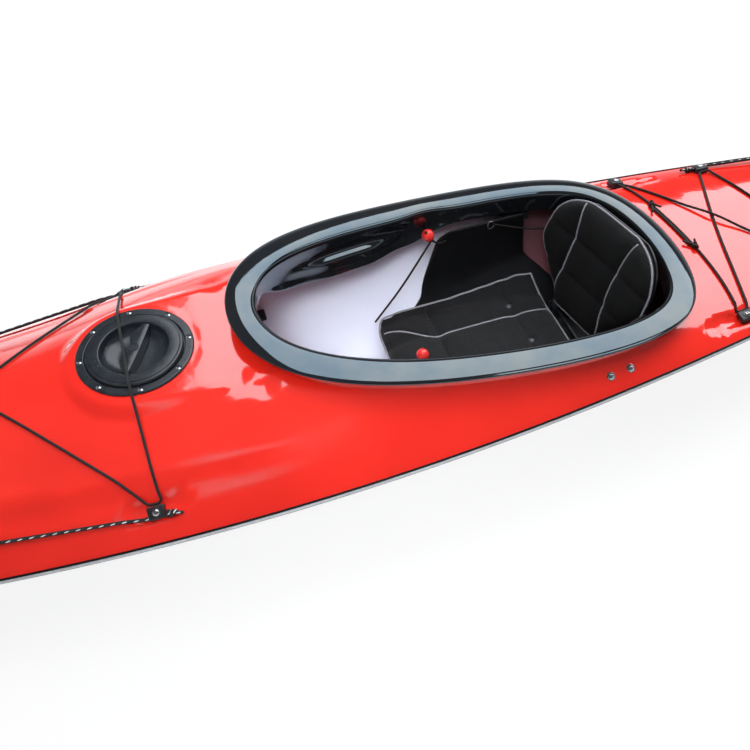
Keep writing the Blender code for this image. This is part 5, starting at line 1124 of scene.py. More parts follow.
def make_trims():
    """The black gunwale channel and its bright grooved insert, on both sides."""
    half = HULL_LENGTH / 2.0
    stem = half - STEM_LENGTH * (1.0 - np.sin(0.5 * math.pi * np.arange(1, 12) / 12.0))
    middle = np.arange(-half + STEM_LENGTH, half - STEM_LENGTH + 0.001, STATION_STEP)
    xs = np.concatenate([-stem[::-1], middle, stem])
    low, slot, edge = -TRIM_HEIGHT / 2.0, INSERT_HEIGHT / 2.0 + GAP, INSERT_HEIGHT / 2.0
    near, far = GAP + 0.0002, GAP + TRIM_DEPTH
    seat, proud = far - 0.0016, far + 0.0006
    groove = proud - 0.0007
    channel = mirrored(((near, low), (far - 0.0012, low), (far - 0.0003, low + 0.0004), (far, low + 0.0013),
                        (far, -slot - 0.0002), (far - 0.0003, -slot), (seat, -slot)))
    insert = mirrored(((seat + GAP, -edge), (proud - 0.0004, -edge), (proud, -edge + 0.0004),
                       (proud, -0.0017), (groove, -0.0014), (groove, -0.0010), (proud, -0.0007)))
    for side, word in SIDES:
        add_solid("trim_" + word, skin(trim_rings(side, channel, xs)), "trim_black", "kayak", "trim_black",
                  "gunwale_trim_" + word)
        add_solid("insert_" + word, skin(trim_rings(side, insert, xs)), "trim_silver", "kayak", "trim_silver",
                  "gunwale_insert_" + word, angle=30.0)


def brace_share(x, y):
    """How far a stretch of the coaming's inner wall reaches down as a thigh brace."""
    rise = 1.0 - 0.47 * np.clip((x + 0.08) / 0.27, 0.0, 1.0) ** 1.4
    along = ease(-0.24, -0.12, x) * (1.0 - ease(0.175, 0.262, x))
    return rise * along * ease(0.07, 0.13, np.abs(y))


def lip_width(turns):
    """Width of the lip, which changes round the cockpit."""
    off = np.abs((turns + math.pi) % (2.0 * math.pi) - math.pi)
    widths = np.interp(off, (0.0, 0.45, 0.80, 1.20, 1.57, 2.1, 2.6, math.pi),
                       (0.0510, 0.0560, 0.0590, 0.0570, 0.0540, 0.0505, 0.0490, 0.0486))
    kernel = np.hanning(23)[1:-1]
    padded = np.concatenate([widths[-10:], widths, widths[:10]])
    return np.convolve(padded, kernel / kernel.sum(), "valid")


def make_coaming():
    """The cockpit coaming: a wide rounded lip, its inner wall and the two scooped thigh braces."""
    turns = circle(COCKPIT_STEPS)
    wide = lip_width(turns)
    x, y = cockpit_point(turns, wide)
    near_ball = np.where(y < 0.0, 1.0, 0.0)
    wide = wide - near_ball * 0.0072 * bell(x - BALL_POCKET_X, 0.045)
    x, y = cockpit_point(turns, wide)
    share = brace_share(x, y)
    deep = lerp(RIM_WALL_DEPTH, coaming_height(x, y) - BRACE_FLOOR, share)
    lean = BRACE_LEAN * share
    scoop = SCOOP_REACH * ease(-0.115, -0.03, x) * (1.0 - ease(0.045, 0.135, x))
    raised = 0.0036 * (1.0 - ease(0.55, 1.25, np.abs(np.mod(turns + math.pi, 2.0 * math.pi) - math.pi)))
    lip = smooth_route([(LIP_SPAN * across, up, 0.0) for across, up in LIP_PROFILE], 0.0020)
    rows = [(wide * point.x / LIP_SPAN, point.y + raised * max(point.x, 0.0) / LIP_SPAN) for point in lip]
    wall = HOLE_INSET + GAP
    foot = wall + LIP_SHELL - lean
    pocket = near_ball * 0.0075 * bell(x - BALL_POCKET_X, 0.032)
    for s in np.linspace(0.05, 1.0, 26):
        dish = -0.0040 * share * math.sin(math.pi * s) + 0.0040 * share * ease(0.80, 1.0, s)
        dish = dish - pocket * ease(0.0, 0.15, s) * (1.0 - 0.6 * ease(0.75, 1.0, s))
        inset = lerp(wide, foot, s) + dish + scoop * ease(0.44, 0.62, s)
        rows.append((inset, lerp(raised - 0.0010, -deep, s)))
    inner, bottom = rows[-1]
    thick = 0.0060 * share
    rows += [(inner - 0.0006, bottom - 0.0012), (wall - lean + 0.0006 + thick, bottom - 0.0012),
             (wall - lean + thick, bottom), (wall - thick, lerp(-0.0120, -deep, 0.5))]
    for a, b in ((wall, -0.0120), (wall, GAP - LIP_SHELL), (RISER_INSET, GAP - LIP_SHELL),
                 (0.0240, LIP_CROWN - LIP_SHELL), (0.0080, LIP_CROWN - LIP_SHELL - 0.0016),
                 (0.0040, -0.0030)):
        rows.append((np.full(COCKPIT_STEPS, a), np.full(COCKPIT_STEPS, b)))
    rings = []
    for inset, up in rows:
        px, py = cockpit_point(turns, inset)
        rings.append(np.stack([px, py, coaming_height(px, py) + up], axis=1))
    part = skin(np.array(rings).transpose(1, 0, 2), closed=True)
    add_solid("coaming", part, "gloss_black", "kayak", "gloss_black", "cockpit_coaming", angle=60.0)


def hatch_place():
    """The frame of the round hatch: its origin on the flat, its Z axis square to it."""
    normal = (-math.sin(HATCH_TILT), 0.0, math.cos(HATCH_TILT))
    return axis_frame((HATCH_X, 0.0, HATCH_HEIGHT + GAP), normal)


def bake(target):
    """Make a piece's modifiers part of its mesh."""
    bpy.context.view_layer.update()
    graph = bpy.context.evaluated_depsgraph_get()
    mesh = bpy.data.meshes.new_from_object(target.evaluated_get(graph))
    target.modifiers.clear()
    target.data = mesh


def modify(target, kind, **settings):
    """Give a piece a modifier."""
    made = target.modifiers.new(kind, kind)
    for key, value in settings.items():
        setattr(made, key, value)
    return made


def cut(target, part):
    """Cut a closed form out of a piece and bake the result."""
    tool = bpy.data.objects.new("tool", solid("tool", part))
    scene.collection.objects.link(tool)
    modify(target, "BOOLEAN", operation="DIFFERENCE", solver="EXACT", object=tool)
    bake(target)
    bpy.data.objects.remove(tool, do_unlink=True)
    smoothed(target.data, 35.0)


def screw_part(place, head, height):
    """A dome-headed screw with a round socket, its head's underside on the frame's plane."""
    dome = [(head * math.sin(a), height * math.cos(a) ** 1.5) for a in np.linspace(1.40, 0.42, 6)]
    profile = [(0.0, -0.004), (head * 0.42, -0.004), (head * 0.42, 0.0), (head * 0.93, 0.0), (head, 0.0005)]
    profile += dome + [(head * 0.34, height * 0.90), (head * 0.32, height * 0.25), (0.0, height * 0.20)]
    return spin(profile, place, SMALL_STEPS)


def make_hatch():
    """The round hatch: a ring with eight sunk screws, and the twist lid with its bowl and grip."""
    place = hatch_place()
    flange, outer = HATCH_FLANGE, HATCH_THROAT + LID_SHELL
    ring = [(HATCH_THROAT, 0.0009), (HATCH_THROAT, -HATCH_THROAT_DEPTH), (outer, -HATCH_THROAT_DEPTH),
            (outer, 0.0), (HATCH_RADIUS - 0.0010, 0.0), (HATCH_RADIUS - 0.0002, 0.0006),
            (HATCH_RADIUS, 0.0016)]
    ring += [(HATCH_RADIUS - inward, flange - down) for inward, down in
             ((0.0006, 0.0014), (0.0020, 0.0004), (0.0030, 0.0), (0.0038, 0.0))]
    ring += [(LID_RADIUS + out, flange - down) for out, down in
             ((0.0040, 0.0), (0.0032, 0.0), (0.0024, 0.0005), (0.0018, 0.0016))]
    ring.append((LID_RADIUS + 0.0014, 0.0009))
    made = add_solid("hatch_flange", spin(ring, place), "lid_black", "kayak", "matte_black", "hatch_ring",
                     angle=35.0)
    pit = ((0.0, -0.0019), (0.0048, -0.0019), (0.0060, 0.0012), (0.0, 0.0012))
    pits, heads = [], []
    for angle in circle(HATCH_SCREWS):
        x, y = HATCH_SCREW_CIRCLE * math.cos(angle), HATCH_SCREW_CIRCLE * math.sin(angle)
        spot = shifted(place, x, y, flange)
        pits.append(spin(pit, spot, SMALL_STEPS))
        heads.append(screw_part(shifted(spot, z=-0.0018), 0.0042, 0.0018))
    cut(made, join_parts(pits))
    add_solid("hatch_screws", join_parts(heads), "steel", "kayak", "steel")

    base = 0.0009 + GAP + GASKET_HEIGHT + GAP
    plug = HATCH_THROAT - 0.0010
    crown = base + LID_CROWN
    floor = crown - BOWL_DEPTH
    inner = plug - LID_SHELL
    profile = [(0.0, floor - LID_SHELL), (BOWL_RADIUS - 0.006, floor - LID_SHELL),
               (BOWL_RADIUS + LID_SHELL, crown - 0.008), (inner, crown - 0.008), (inner, base - 0.012),
               (plug, base - 0.012), (plug, base), (LID_RADIUS - 0.0006, base), (LID_RADIUS, base + 0.0006),
               (LID_RADIUS, base + 0.0034), (LID_RADIUS - 0.0005, base + 0.0046)]
    profile += [(LID_RADIUS - inward, crown - down) for inward, down in
                ((0.0014, 0.0010), (0.0024, 0.0006), (0.0040, 0.0006), (0.0046, 0.0014), (0.0056, 0.0014),
                 (0.0062, 0.0001), (0.0070, 0.0))]
    profile += [(BOWL_RADIUS + out, crown - down) for out, down in
                ((0.0024, 0.0), (0.0014, 0.0001), (0.0006, 0.0006), (0.0001, 0.0016), (-0.0006, 0.0050))]
    for turn in 0.5 * math.pi * np.linspace(0.15, 1.0, 9):
        profile.append((BOWL_RADIUS - 0.0010 - 0.0300 * (1.0 - math.cos(turn)),
                        lerp(crown - 0.0066, floor, math.sin(turn))))
    profile.append((0.0, floor))
    half = []
    for s in np.linspace(-1.0, 1.0, 61):
        straight = GRIP_WIDTH * (1.0 - 0.15 * s * s)
        wavy = 0.0075 + 0.0045 * (1.0 - s ** 4) - GRIP_WAVE * math.cos(2.0 * math.pi * s)
        half.append((s * GRIP_LENGTH / 2.0, straight, wavy))
    bar = turned(place, GRIP_HEADING, "Z")
    levels = ((floor - 0.0010, -0.0022), (floor + 0.0022, -0.0004), (floor + 0.0060, 0.0),
              (crown - 0.0034, 0.0006), (crown - 0.0018, 0.0007), (crown - 0.0011, 0.0012),
              (crown - 0.0008, 0.0020))
    rings = []
    for level, inset in levels:
        edge = [(a, w - inset) for a, w, _ in half] + [(a, inset - w) for a, _, w in reversed(half)]
        rings.append([tuple(bar @ Vector((a, b, level))) for a, b in edge])
    boss = [(0.0, crown - 0.0020), (GRIP_BOSS, crown - 0.0020), (GRIP_BOSS, crown - 0.0002),
            (GRIP_BOSS - 0.0005, crown + 0.0002), (GRIP_BOSS - 0.0014, crown + 0.0002),
            (GRIP_BOSS - 0.0018, crown - 0.0003), (0.0034, crown - 0.0003), (0.0030, crown), (0.0, crown)]
    parts = [spin(profile, place), skin(rings), spin(boss, bar, 36)]
    add_solid("lid", join_parts(parts), "lid_black", "lid", "matte_black", "hatch_lid", angle=32.0)


def surface_place(x, y, half_length, half_width):
    """A frame on the deck, clear of it under a small footprint."""
    normal = Vector(deck_normal(np.array([x]), np.array([y]))[0])
    if y == 0.0:
        normal = Vector((normal.x, 0.0, normal.z)).normalized()
    point = Vector((x, y, float(deck_top(x, y))))
    made = axis_frame(point, normal)
    spread = [made @ Vector((half_length * i / 2.0, half_width * k / 2.0, 0.0))
              for i in range(-2, 3) for k in range(-2, 3)]
    flat = np.array([tuple(p) for p in spread])
    rise = (deck_top(flat[:, 0], flat[:, 1]) - flat[:, 2]) * normal.z
    made.translation = point + normal * (float(rise.max()) + GAP)
    return made


def make_block(name, x, y):
    """A cord block with rounded edges and its button screw; its foot fills the recess under it."""
    half_length, half_width, top = BLOCK_LENGTH / 2.0, BLOCK_WIDTH / 2.0, BLOCK_HEIGHT
    place = surface_place(x, y, half_length, half_width)
    body = rounded_box((-half_length, -half_width, -BLOCK_FOOT), (half_length, half_width, top), 0.0026)
    collar = spin(((0.0, top - 0.001), (0.0082, top - 0.001), (0.0080, top + 0.0005), (0.0070, top + 0.0010),
                   (0.0, top + 0.0010)), Matrix.Identity(4), SMALL_STEPS)
    add_solid(name + "_body", join_parts([moved(body, place), moved(collar, place)]), "matte_black", "kayak",
              "matte_black", name)
    screw = screw_part(shifted(place, z=top + 0.0008), 0.0056, 0.0027)
    add_solid(name + "_screw", screw, "steel", "kayak", "steel")
    return place


def cord_heights(xs, ys, offset):
    """Heights of a cord's centre that lies on the deck, the hatch ring or the lid."""
    steep = np.maximum(0.45, deck_normal(xs, ys)[:, 2])
    base = deck_top(xs, ys)
    away = np.hypot(xs - HATCH_X, ys)
    on_ring = away < HATCH_RADIUS + 0.004
    base = np.where(on_ring, plateau(xs) + HATCH_FLANGE + 0.0014, base)
    base = np.where(away < LID_RADIUS + 0.004, plateau(xs) + LID_CROWN + 0.0044, base)
    return base + offset / np.where(on_ring, 1.0, steep)


def taut_run(start, end, radius, bow=0.0):
    """Points of a cord pulled over the deck: straight in plan, held up by what is under it."""
    run = end - start
    flat = Vector((-run.y, run.x, 0.0)).normalized()
    ts = np.linspace(0.0, 1.0, TAUT_STEPS + 1)
    places = [start.lerp(end, float(t)) + flat * float(bow * 4.0 * t * (1.0 - t)) for t in ts]
    spots = np.array([tuple(place) for place in places])
    heights = cord_heights(spots[:, 0], spots[:, 1], radius + 0.0004)
    heights[0], heights[-1] = start.z, end.z
    held = []
    for t, height in zip(ts, heights):
        while len(held) >= 2:
            (t1, h1), (t2, h2) = held[-2:]
            if (h2 - h1) * (t - t1) > (height - h1) * (t2 - t1):
                break
            held.pop()
        held.append((t, height))
    level = np.interp(ts, [h[0] for h in held], [h[1] for h in held])
    return [Vector((place.x, place.y, float(z))) for place, z in zip(places, level)][::2]


def block_port(place, target):
    """The place on a block's side where a cord that heads for a target starts."""
    local = place.inverted() @ target
    run = Vector((local.x, local.y))
    run *= min(BLOCK_LENGTH / 2.0 / max(abs(run.x), 1e-6), BLOCK_WIDTH / 2.0 / max(abs(run.y), 1e-6))
    inner = run * 0.75
    return place @ Vector((inner.x, inner.y, BLOCK_HEIGHT * 0.5))


def through_block(place, side, ahead):
    """Three places along a block's bore, in the running order of the line in it."""
    reach = (BLOCK_LENGTH / 2.0 + 0.003) * (1.0 if ahead else -1.0)
    return [place @ Vector((x, side * BLOCK_BORE_Y, BLOCK_BORE_Z)) for x in (-reach, 0.0, reach)]


def pass_block(place, side, ahead, radius):
    """Three places where a cord lies along a block's inboard side, in its running order."""
    across = BLOCK_WIDTH / 2.0 + radius + CORD_GAP
    reach = BLOCK_LENGTH * (0.38 if ahead else -0.38)
    level = max(BLOCK_HEIGHT * 0.42, radius + CORD_GAP)
    places = ((-reach, across + 0.0014), (0.0, across), (reach, across + 0.0014))
    return [place @ Vector((x, -side * y, level)) for x, y in places]


def lift_crossing(under, over, radius):
    """Lift one run of cord where it crosses another, by a smooth hump."""
    fine_under = smooth_route(under, 0.01)
    fine_over = smooth_route(over, 0.01)
    best = min(((a.xy - b.xy).length, j, i)
               for i, a in enumerate(fine_under) for j, b in enumerate(fine_over))
    centre = fine_over[best[1]]
    over[:] = smooth_route(over, 0.012)
    rise = 2.0 * radius + 0.0008 - (centre.z - fine_under[best[2]].z)
    for i, point in enumerate(over):
        over[i] = point + Vector((0.0, 0.0, rise * math.exp(-((point.xy - centre.xy).length / 0.05) ** 2)))


def elastic(places, ahead, bows):
    """An elastic cord hooked past three blocks: its first run, and all of it as a tube."""
    first, radius = places[0], BUNGEE_RADIUS
    turns = [pass_block(place, side, way, radius)
             for place, side, way in zip(places[1:], BLOCK_SIDES[1:], ahead)]
    starts = [block_port(first, turns[0][0])] + [turn[2] for turn in turns]
    ends = [turn[0] for turn in turns] + [block_port(first, turns[-1][2])]
    runs = [taut_run(a, b, radius, bow) for a, b, bow in zip(starts, ends, bows)]
    lift_crossing(runs[1], runs[3], radius)
    route = list(runs[0])
    for turn, run in zip(turns, runs[1:]):
        route += [turn[1]] + run
    return runs[0], tube(smooth_route(route, CORD_STEP), radius)


def knot_tubes(centre, run, radius, tails=()):
    """An overhand knot: a tight trefoil of cord along a run, with cut tails beside it."""
    centre, run = Vector(centre), Vector(run).normalized()
    side = run.cross(UP).normalized()
    up = side.cross(run)
    points = []
    for k in range(37):
        t = 2.0 * math.pi * k / 36.0
        along = radius * 2.3 * math.sin(t) * 0.9 + radius * 0.8 * math.sin(2.0 * t)
        across = radius * (0.55 * math.cos(t) + 1.15 * math.cos(2.0 * t))
        points.append(centre + run * along + side * across + up * (radius * 1.05 * math.sin(3.0 * t)))
    tubes = [tube(smooth_route(points, radius * 0.6), radius)]
    for heading, reach in tails:
        way = (run * heading[0] + side * heading[1]).normalized()
        start = centre + way * radius
        tail = [start + way * (reach * s) + up * (-0.5 * radius * s) for s in (0.0, 0.3, 0.6, 1.0)]
        tubes.append(tube(tail, radius))
    return tubes


def make_bow_cords(places):
    """The bow elastic: one cord over the hatch and crossed over the foredeck."""
    _, cord = elastic(places, (True, True, False), (0.0, 0.0, 0.0, 0.0))
    tube_piece("bow_elastic", [cord], "cord_black", "kayak", "cord_black", "bow_bungee")


def make_stern_cords(places):
    """The stern elastic, doubled between its two knots."""
    first, cord = elastic(places, (False, False, True), (0.020, 0.010, 0.0, 0.0))
    marks = [min(range(len(first)), key=lambda i: (first[i].xy - Vector(knot)).length)
             for knot in STERN_KNOTS]
    low, high = sorted(marks)
    doubled = []
    for i in range(low, high + 1):
        run = (first[min(i + 1, len(first) - 1)] - first[max(i - 1, 0)]).normalized()
        doubled.append(first[i] + run.cross(UP).normalized() * DOUBLED_OFFSET)
    tubes = [cord, tube(smooth_route(doubled, CORD_STEP), BUNGEE_RADIUS)]
    for mark, heading in zip(marks, (1.0, -1.0)):
        centre = first[mark] + Vector((0.0, 0.0, 1.6 * BUNGEE_RADIUS))
        tails = (((heading, 0.7), 0.022), ((heading, -0.5), 0.016))
        tubes.extend(knot_tubes(centre, first[mark + 1] - first[mark - 1], BUNGEE_RADIUS, tails))
    tube_piece("stern_elastic", tubes, "cord_black", "kayak", "cord_black", "stern_bungee")


def make_safety_line(name, node, places, sides, end_place, ahead):
    """A safety line from a knot at a block, round an end block and back up the other side."""
    radius = LINE_RADIUS
    toward = 1.0 if ahead else -1.0
    around = BLOCK_LENGTH / 2.0 + radius + CORD_GAP
    shoulder = BLOCK_WIDTH / 2.0 + radius + CORD_GAP
    level = BLOCK_HEIGHT * 0.5
    halves, knots = [], []
    for pick in (1, 0):
        side = sides[pick]
        passes = [through_block(place, side, ahead) for place in places[pick::2]]
        tail = places[pick].to_3x3() @ Vector((-toward * 0.012, 0.0, 0.0008))
        flank = end_place @ Vector((0.0, side * shoulder, level))
        hip = end_place @ Vector((toward * BLOCK_LENGTH * 0.42, side * (shoulder + 0.0025), level))
        corner = end_place @ Vector((toward * (around + 0.002), side * shoulder * 0.80, level))
        points = [passes[0][0] + tail]
        knots.append((passes[0][0] + tail * 0.45, tail))
        targets = [later[0] for later in passes[1:]] + [flank]
        for stop, target in zip(passes, targets):
            points.extend(stop)
            points.extend(taut_run(stop[2], target, radius)[1:-1])
        points.extend((flank, hip, corner))
        halves.append(points)
    tip = end_place @ Vector((toward * (around + 0.004), 0.0, level))
    tubes = [tube(smooth_route(halves[0] + [tip] + halves[1][::-1], LINE_STEP), radius)]
    for centre, tail in knots:
        tubes.extend(knot_tubes(centre, tail, radius * 0.95, (((1.0, 0.25), 0.015),)))
    tube_piece(name, tubes, "line_black", "kayak", "cord_black", node)


def make_side_screws():
    """The stainless dome screws that hold the hip brackets, on each side of the deck."""
    for side, word in SIDES:
        for x, end in zip(SIDE_SCREW_X, ("fore", "aft")):
            ys = np.linspace(0.80, 0.9999, 400) * float(half_beam(x))
            y = float(np.interp(-SIDE_SCREW_Z, -deck_top(np.full(400, x), ys), ys))
            normal = deck_normal(np.array([x]), np.array([side * y]))[0]
            place = axis_frame((x, side * y, float(deck_top(x, side * y))), normal)
            plate = ((0.0, -0.0006), (0.0080, -0.0006), (0.0080, 0.0002), (0.0072, 0.0005), (0.0, 0.0005))
            washer = spin(plate, place, SMALL_STEPS)
            head = screw_part(shifted(place, z=0.0002), 0.0066, 0.0030)
            add_solid(f"side_screw_head_{end}_{word}", join_parts([head, washer]), "steel", "kayak", "steel",
                      f"side_screw_{end}_{word}")


def vectors_of(source, name, kind=np.float32):
    """A vector for each item of a mesh's collection, as an array."""
    flat = np.zeros(3 * len(source), kind)
    source.foreach_get(name, flat)
    return flat.reshape(-1, 3).astype(float)


def set_points(mesh, points):
    """Move a mesh's points."""
    mesh.vertices.foreach_set("co", points.ravel())
    mesh.update()


def border_of(grid):
    """The places round the edge of a grid, in order."""
    return np.concatenate([grid[0], grid[1:, -1], grid[-1, -2::-1], grid[-2:0:-1, 0]])


def grid_pad(low, top):
    """Points and faces of a pad between a lower and an upper grid of places."""
    low, top = np.asarray(low, float), np.asarray(top, float)
    index = np.arange(top.shape[0] * top.shape[1]).reshape(top.shape[:2])
    layer = index.size
    faces = []
    for i in range(top.shape[0] - 1):
        for k in range(top.shape[1] - 1):
            face = [int(index[i, k]), int(index[i + 1, k]), int(index[i + 1, k + 1]), int(index[i, k + 1])]
            faces += [tuple(face), tuple(layer + point for point in face[:1] + face[:0:-1])]
    ring = border_of(index).tolist()
    faces += [(a, b, b + layer, a + layer) for a, b in zip(ring, ring[1:] + ring[:1])]
    return np.concatenate([top.reshape(-1, 3), low.reshape(-1, 3)]), faces


def plump(name, part, held, cap):
    """Swell a pad as cloth under pressure, with its seams held, and return the settled mesh."""
    work = bpy.data.objects.new(name, solid(name, part))
    scene.collection.objects.link(work)
    modify(work, "REMESH", mode="VOXEL", voxel_size=PAD_VOXEL)
    modify(work, "SMOOTH", factor=0.5, iterations=3)
    bake(work)
    start = vectors_of(work.data.vertices, "co", float)
    group = work.vertex_groups.new(name="held")
    for i, weight in enumerate(held(start)):
        group.add([i], float(weight), "REPLACE")
    cloth = modify(work, "CLOTH")
    for key, value in CLOTH.items():
        setattr(cloth.settings, key, value)
    cloth.settings.effector_weights.gravity = 0.0
    cloth.collision_settings.use_collision = False
    cloth.point_cache.frame_start = 1
    cloth.point_cache.frame_end = CLOTH_FRAMES
    for number in range(1, CLOTH_FRAMES + 1):
        scene.frame_set(number)
    graph = bpy.context.evaluated_depsgraph_get()
    move = vectors_of(work.evaluated_get(graph).data.vertices, "co", float) - start
    size = np.maximum(np.linalg.norm(move, axis=1, keepdims=True), 1e-9)
    work.modifiers.clear()
    work.vertex_groups.clear()
    work.data.vertices.foreach_set("co", (start + move * (cap * np.tanh(size / cap) / size)).ravel())
    scene.frame_set(1)
    modify(work, "SUBSURF", levels=1, render_levels=1)
    bake(work)
    mesh = work.data
    bpy.data.objects.remove(work, do_unlink=True)
    mesh.shade_smooth()
    return mesh


def pucker(mesh, away, along, depth, reach):
    """Fine gathers that run out of the seams, from each point's distance off and along them."""
    points, normals = vectors_of(mesh.vertices, "co", float), vectors_of(mesh.vertex_normals, "vector")
    ripple = np.sin(2.0 * math.pi * along / 0.0105 + 2.2 * np.sin(along / 0.031))
    ripple = ripple + 0.6 * np.sin(2.0 * math.pi * along / 0.0067 + 1.3)
    lift = depth * ripple * np.exp(-(away / reach) ** 2) * ease(0.0, 0.004, away)
    set_points(mesh, points + normals * lift[:, None])


def tree_of(mesh):
    """A search tree over a mesh."""
    faces = [tuple(polygon.vertices) for polygon in mesh.polygons]
    return BVHTree.FromPolygons([vert.co for vert in mesh.vertices], faces)


def looped(route):
    """A route that runs on a little past its own start."""
    return list(route) + [route[0]]


def piping(tree, border, starts, way, facing=-2.0):
    """Piping laid round a pad's border and, by rays, along its seams."""
    laid = []
    for point in border:
        spot, normal, _, _ = tree.find_nearest(Vector(point))
        laid.append(spot + normal * PIPING_LIFT)
    tubes = [tube(smooth_route(looped(laid), PIPING_STEP), PIPING_RADIUS)]
    for run in starts:
        hits = [tree.ray_cast(Vector(point), Vector(way)) for point in run]
        spots = [hit[0] + hit[1] * SEAM_PIPING_LIFT for hit in hits if hit[0] and hit[1].x > facing]
        tubes.append(tube(smooth_route(spots, PIPING_STEP), SEAM_PIPING_RADIUS))
    return tubes


def pad_height(u, v, seams):
    """Height share of a quilted pad: crowned, and drawn in at its seams and edges."""
    edge = (1.0 - abs(u) ** 5) * (1.0 - abs(v) ** 5)
    height = 0.52 + 0.48 * max(0.0, edge) ** 0.5
    for axis, place in seams:
        height -= 0.16 * math.exp(-(((u if axis == "u" else v) - place) / 0.07) ** 2)
    return height


def pan_outline():
    """The seat pan's section from its middle out and up one wing, as close (across, up) places."""
    points = ((0.0, PAN_FLOOR), (PAN_HALF_FLOOR * 0.5, PAN_FLOOR), (PAN_HALF_FLOOR, PAN_FLOOR),
              (PAN_HALF_FLOOR + 0.016, PAN_FLOOR + 0.006), (WING_HALF - 0.042, PAN_FLOOR + 0.028),
              (WING_HALF - 0.022, PAN_FLOOR + 0.050), (WING_HALF - 0.006, PAN_FLOOR + 0.076),
              (WING_HALF, PAN_FLOOR + 0.110), (WING_HALF, WING_TOP))
    return [(point.x, point.y) for point in smooth_route([(a, b, 0.0) for a, b in points], 0.0065)]


def pan_half(x, y, z):
    """Half the pan's inner width at a height, held inside the hull."""
    return min(y, hull_inside(x, z - PAN_SHELL) - PAN_SHELL - PAN_MARGIN)


def pan_table():
    """Heights of the pan's inner face over a grid of places, for looking up."""
    section = pan_outline()
    xs = np.linspace(PAN_REAR - 0.02, PAN_FRONT + 0.05, 45)
    ys = np.linspace(0.0, WING_HALF, 90)
    rows = []
    for x in xs:
        widths = [pan_half(x, across, up) for across, up in section]
        widths = np.maximum.accumulate(widths) + 1e-7 * np.arange(len(widths))
        rows.append(np.interp(ys, widths, [up for _, up in section]))
    return xs, ys, np.array(rows)


PAN_TABLE = pan_table()


def pan_height(x, y):
    """Height of the pan's inner face at places in plan."""
    xs, ys, table = PAN_TABLE
    across = np.clip(np.abs(y) / (ys[1] - ys[0]), 0.0, len(ys) - 1.001)
    along = np.clip((x - xs[0]) / (xs[1] - xs[0]), 0.0, len(xs) - 1.001)
    i, k = along.astype(int), across.astype(int)
    s, t = along - i, across - k
    near = table[i, k] * (1.0 - t) + table[i, k + 1] * t
    far = table[i + 1, k] * (1.0 - t) + table[i + 1, k + 1] * t
    return near * (1.0 - s) + far * s


def make_seat_pan():
    """The seat pan: a thin moulded bucket with a swept hip wing on each side and a rolled rim."""
    side = pan_outline()
    across = [(-y, z) for y, z in reversed(side[1:])] + side
    grid = []
    for t in np.linspace(0.0, 1.0, 37):
        row = []
        for y, z in across:
            share = min(1.0, max(0.0, (z - PAN_FLOOR) / (WING_TOP - PAN_FLOOR)))
            foot = lerp(PAN_FRONT, WING_FOOT_FRONT, float(ease(0.02, 0.30, share)))
            front = lerp(foot, WING_TOP_FRONT, share ** 0.8)
            rear = lerp(PAN_REAR, WING_TOP_REAR + 0.014 * share, min(share * 2.2, 1.0) ** 1.2)
            if share > 0.9:
                front -= 0.020 * ((share - 0.9) / 0.1) ** 2
            x = lerp(rear, front, float(t))
            row.append((x, math.copysign(pan_half(x, abs(y), z), y), z))
        grid.append(row)
    inner = np.array(grid)
    out = np.cross(np.gradient(inner, axis=0), np.gradient(inner, axis=1))
    out = out / np.linalg.norm(out, axis=2, keepdims=True)
    if out[len(grid) // 2, len(across) // 2, 2] > 0.0:
        out = -out
    rim = border_of((inner + out * (PAN_SHELL / 2.0)).transpose(1, 0, 2))
    rolled = tube(smooth_route(looped([tuple(p) for p in rim[::2]]), 0.006), 0.0031)
    part = join_parts([grid_pad(inner + out * PAN_SHELL, inner), rolled[:2]])
    add_solid("pan", part, "pan_black", "kayak", "gloss_black", "seat_pan", angle=50.0)


def long_seam(x):
    """Distance off the middle of the cushion's two long piped seams."""
    return PIPING_Y - 0.004 + 0.044 * ease(-0.150, SEAT_FRONT - 0.004, x)


def cushion_seams(points):
    """Each point's distance off the cushion's nearest seam, and its place along it."""
    x, y = points[:, 0], points[:, 1]
    long_off = np.abs(np.abs(y) - long_seam(x))
    cross_off = np.minimum(np.abs(x - SEAM_FRONT_X), np.abs(x - SEAM_REAR_X))
    away = np.minimum(long_off, cross_off)
    return away, np.where(long_off < cross_off, x, y)


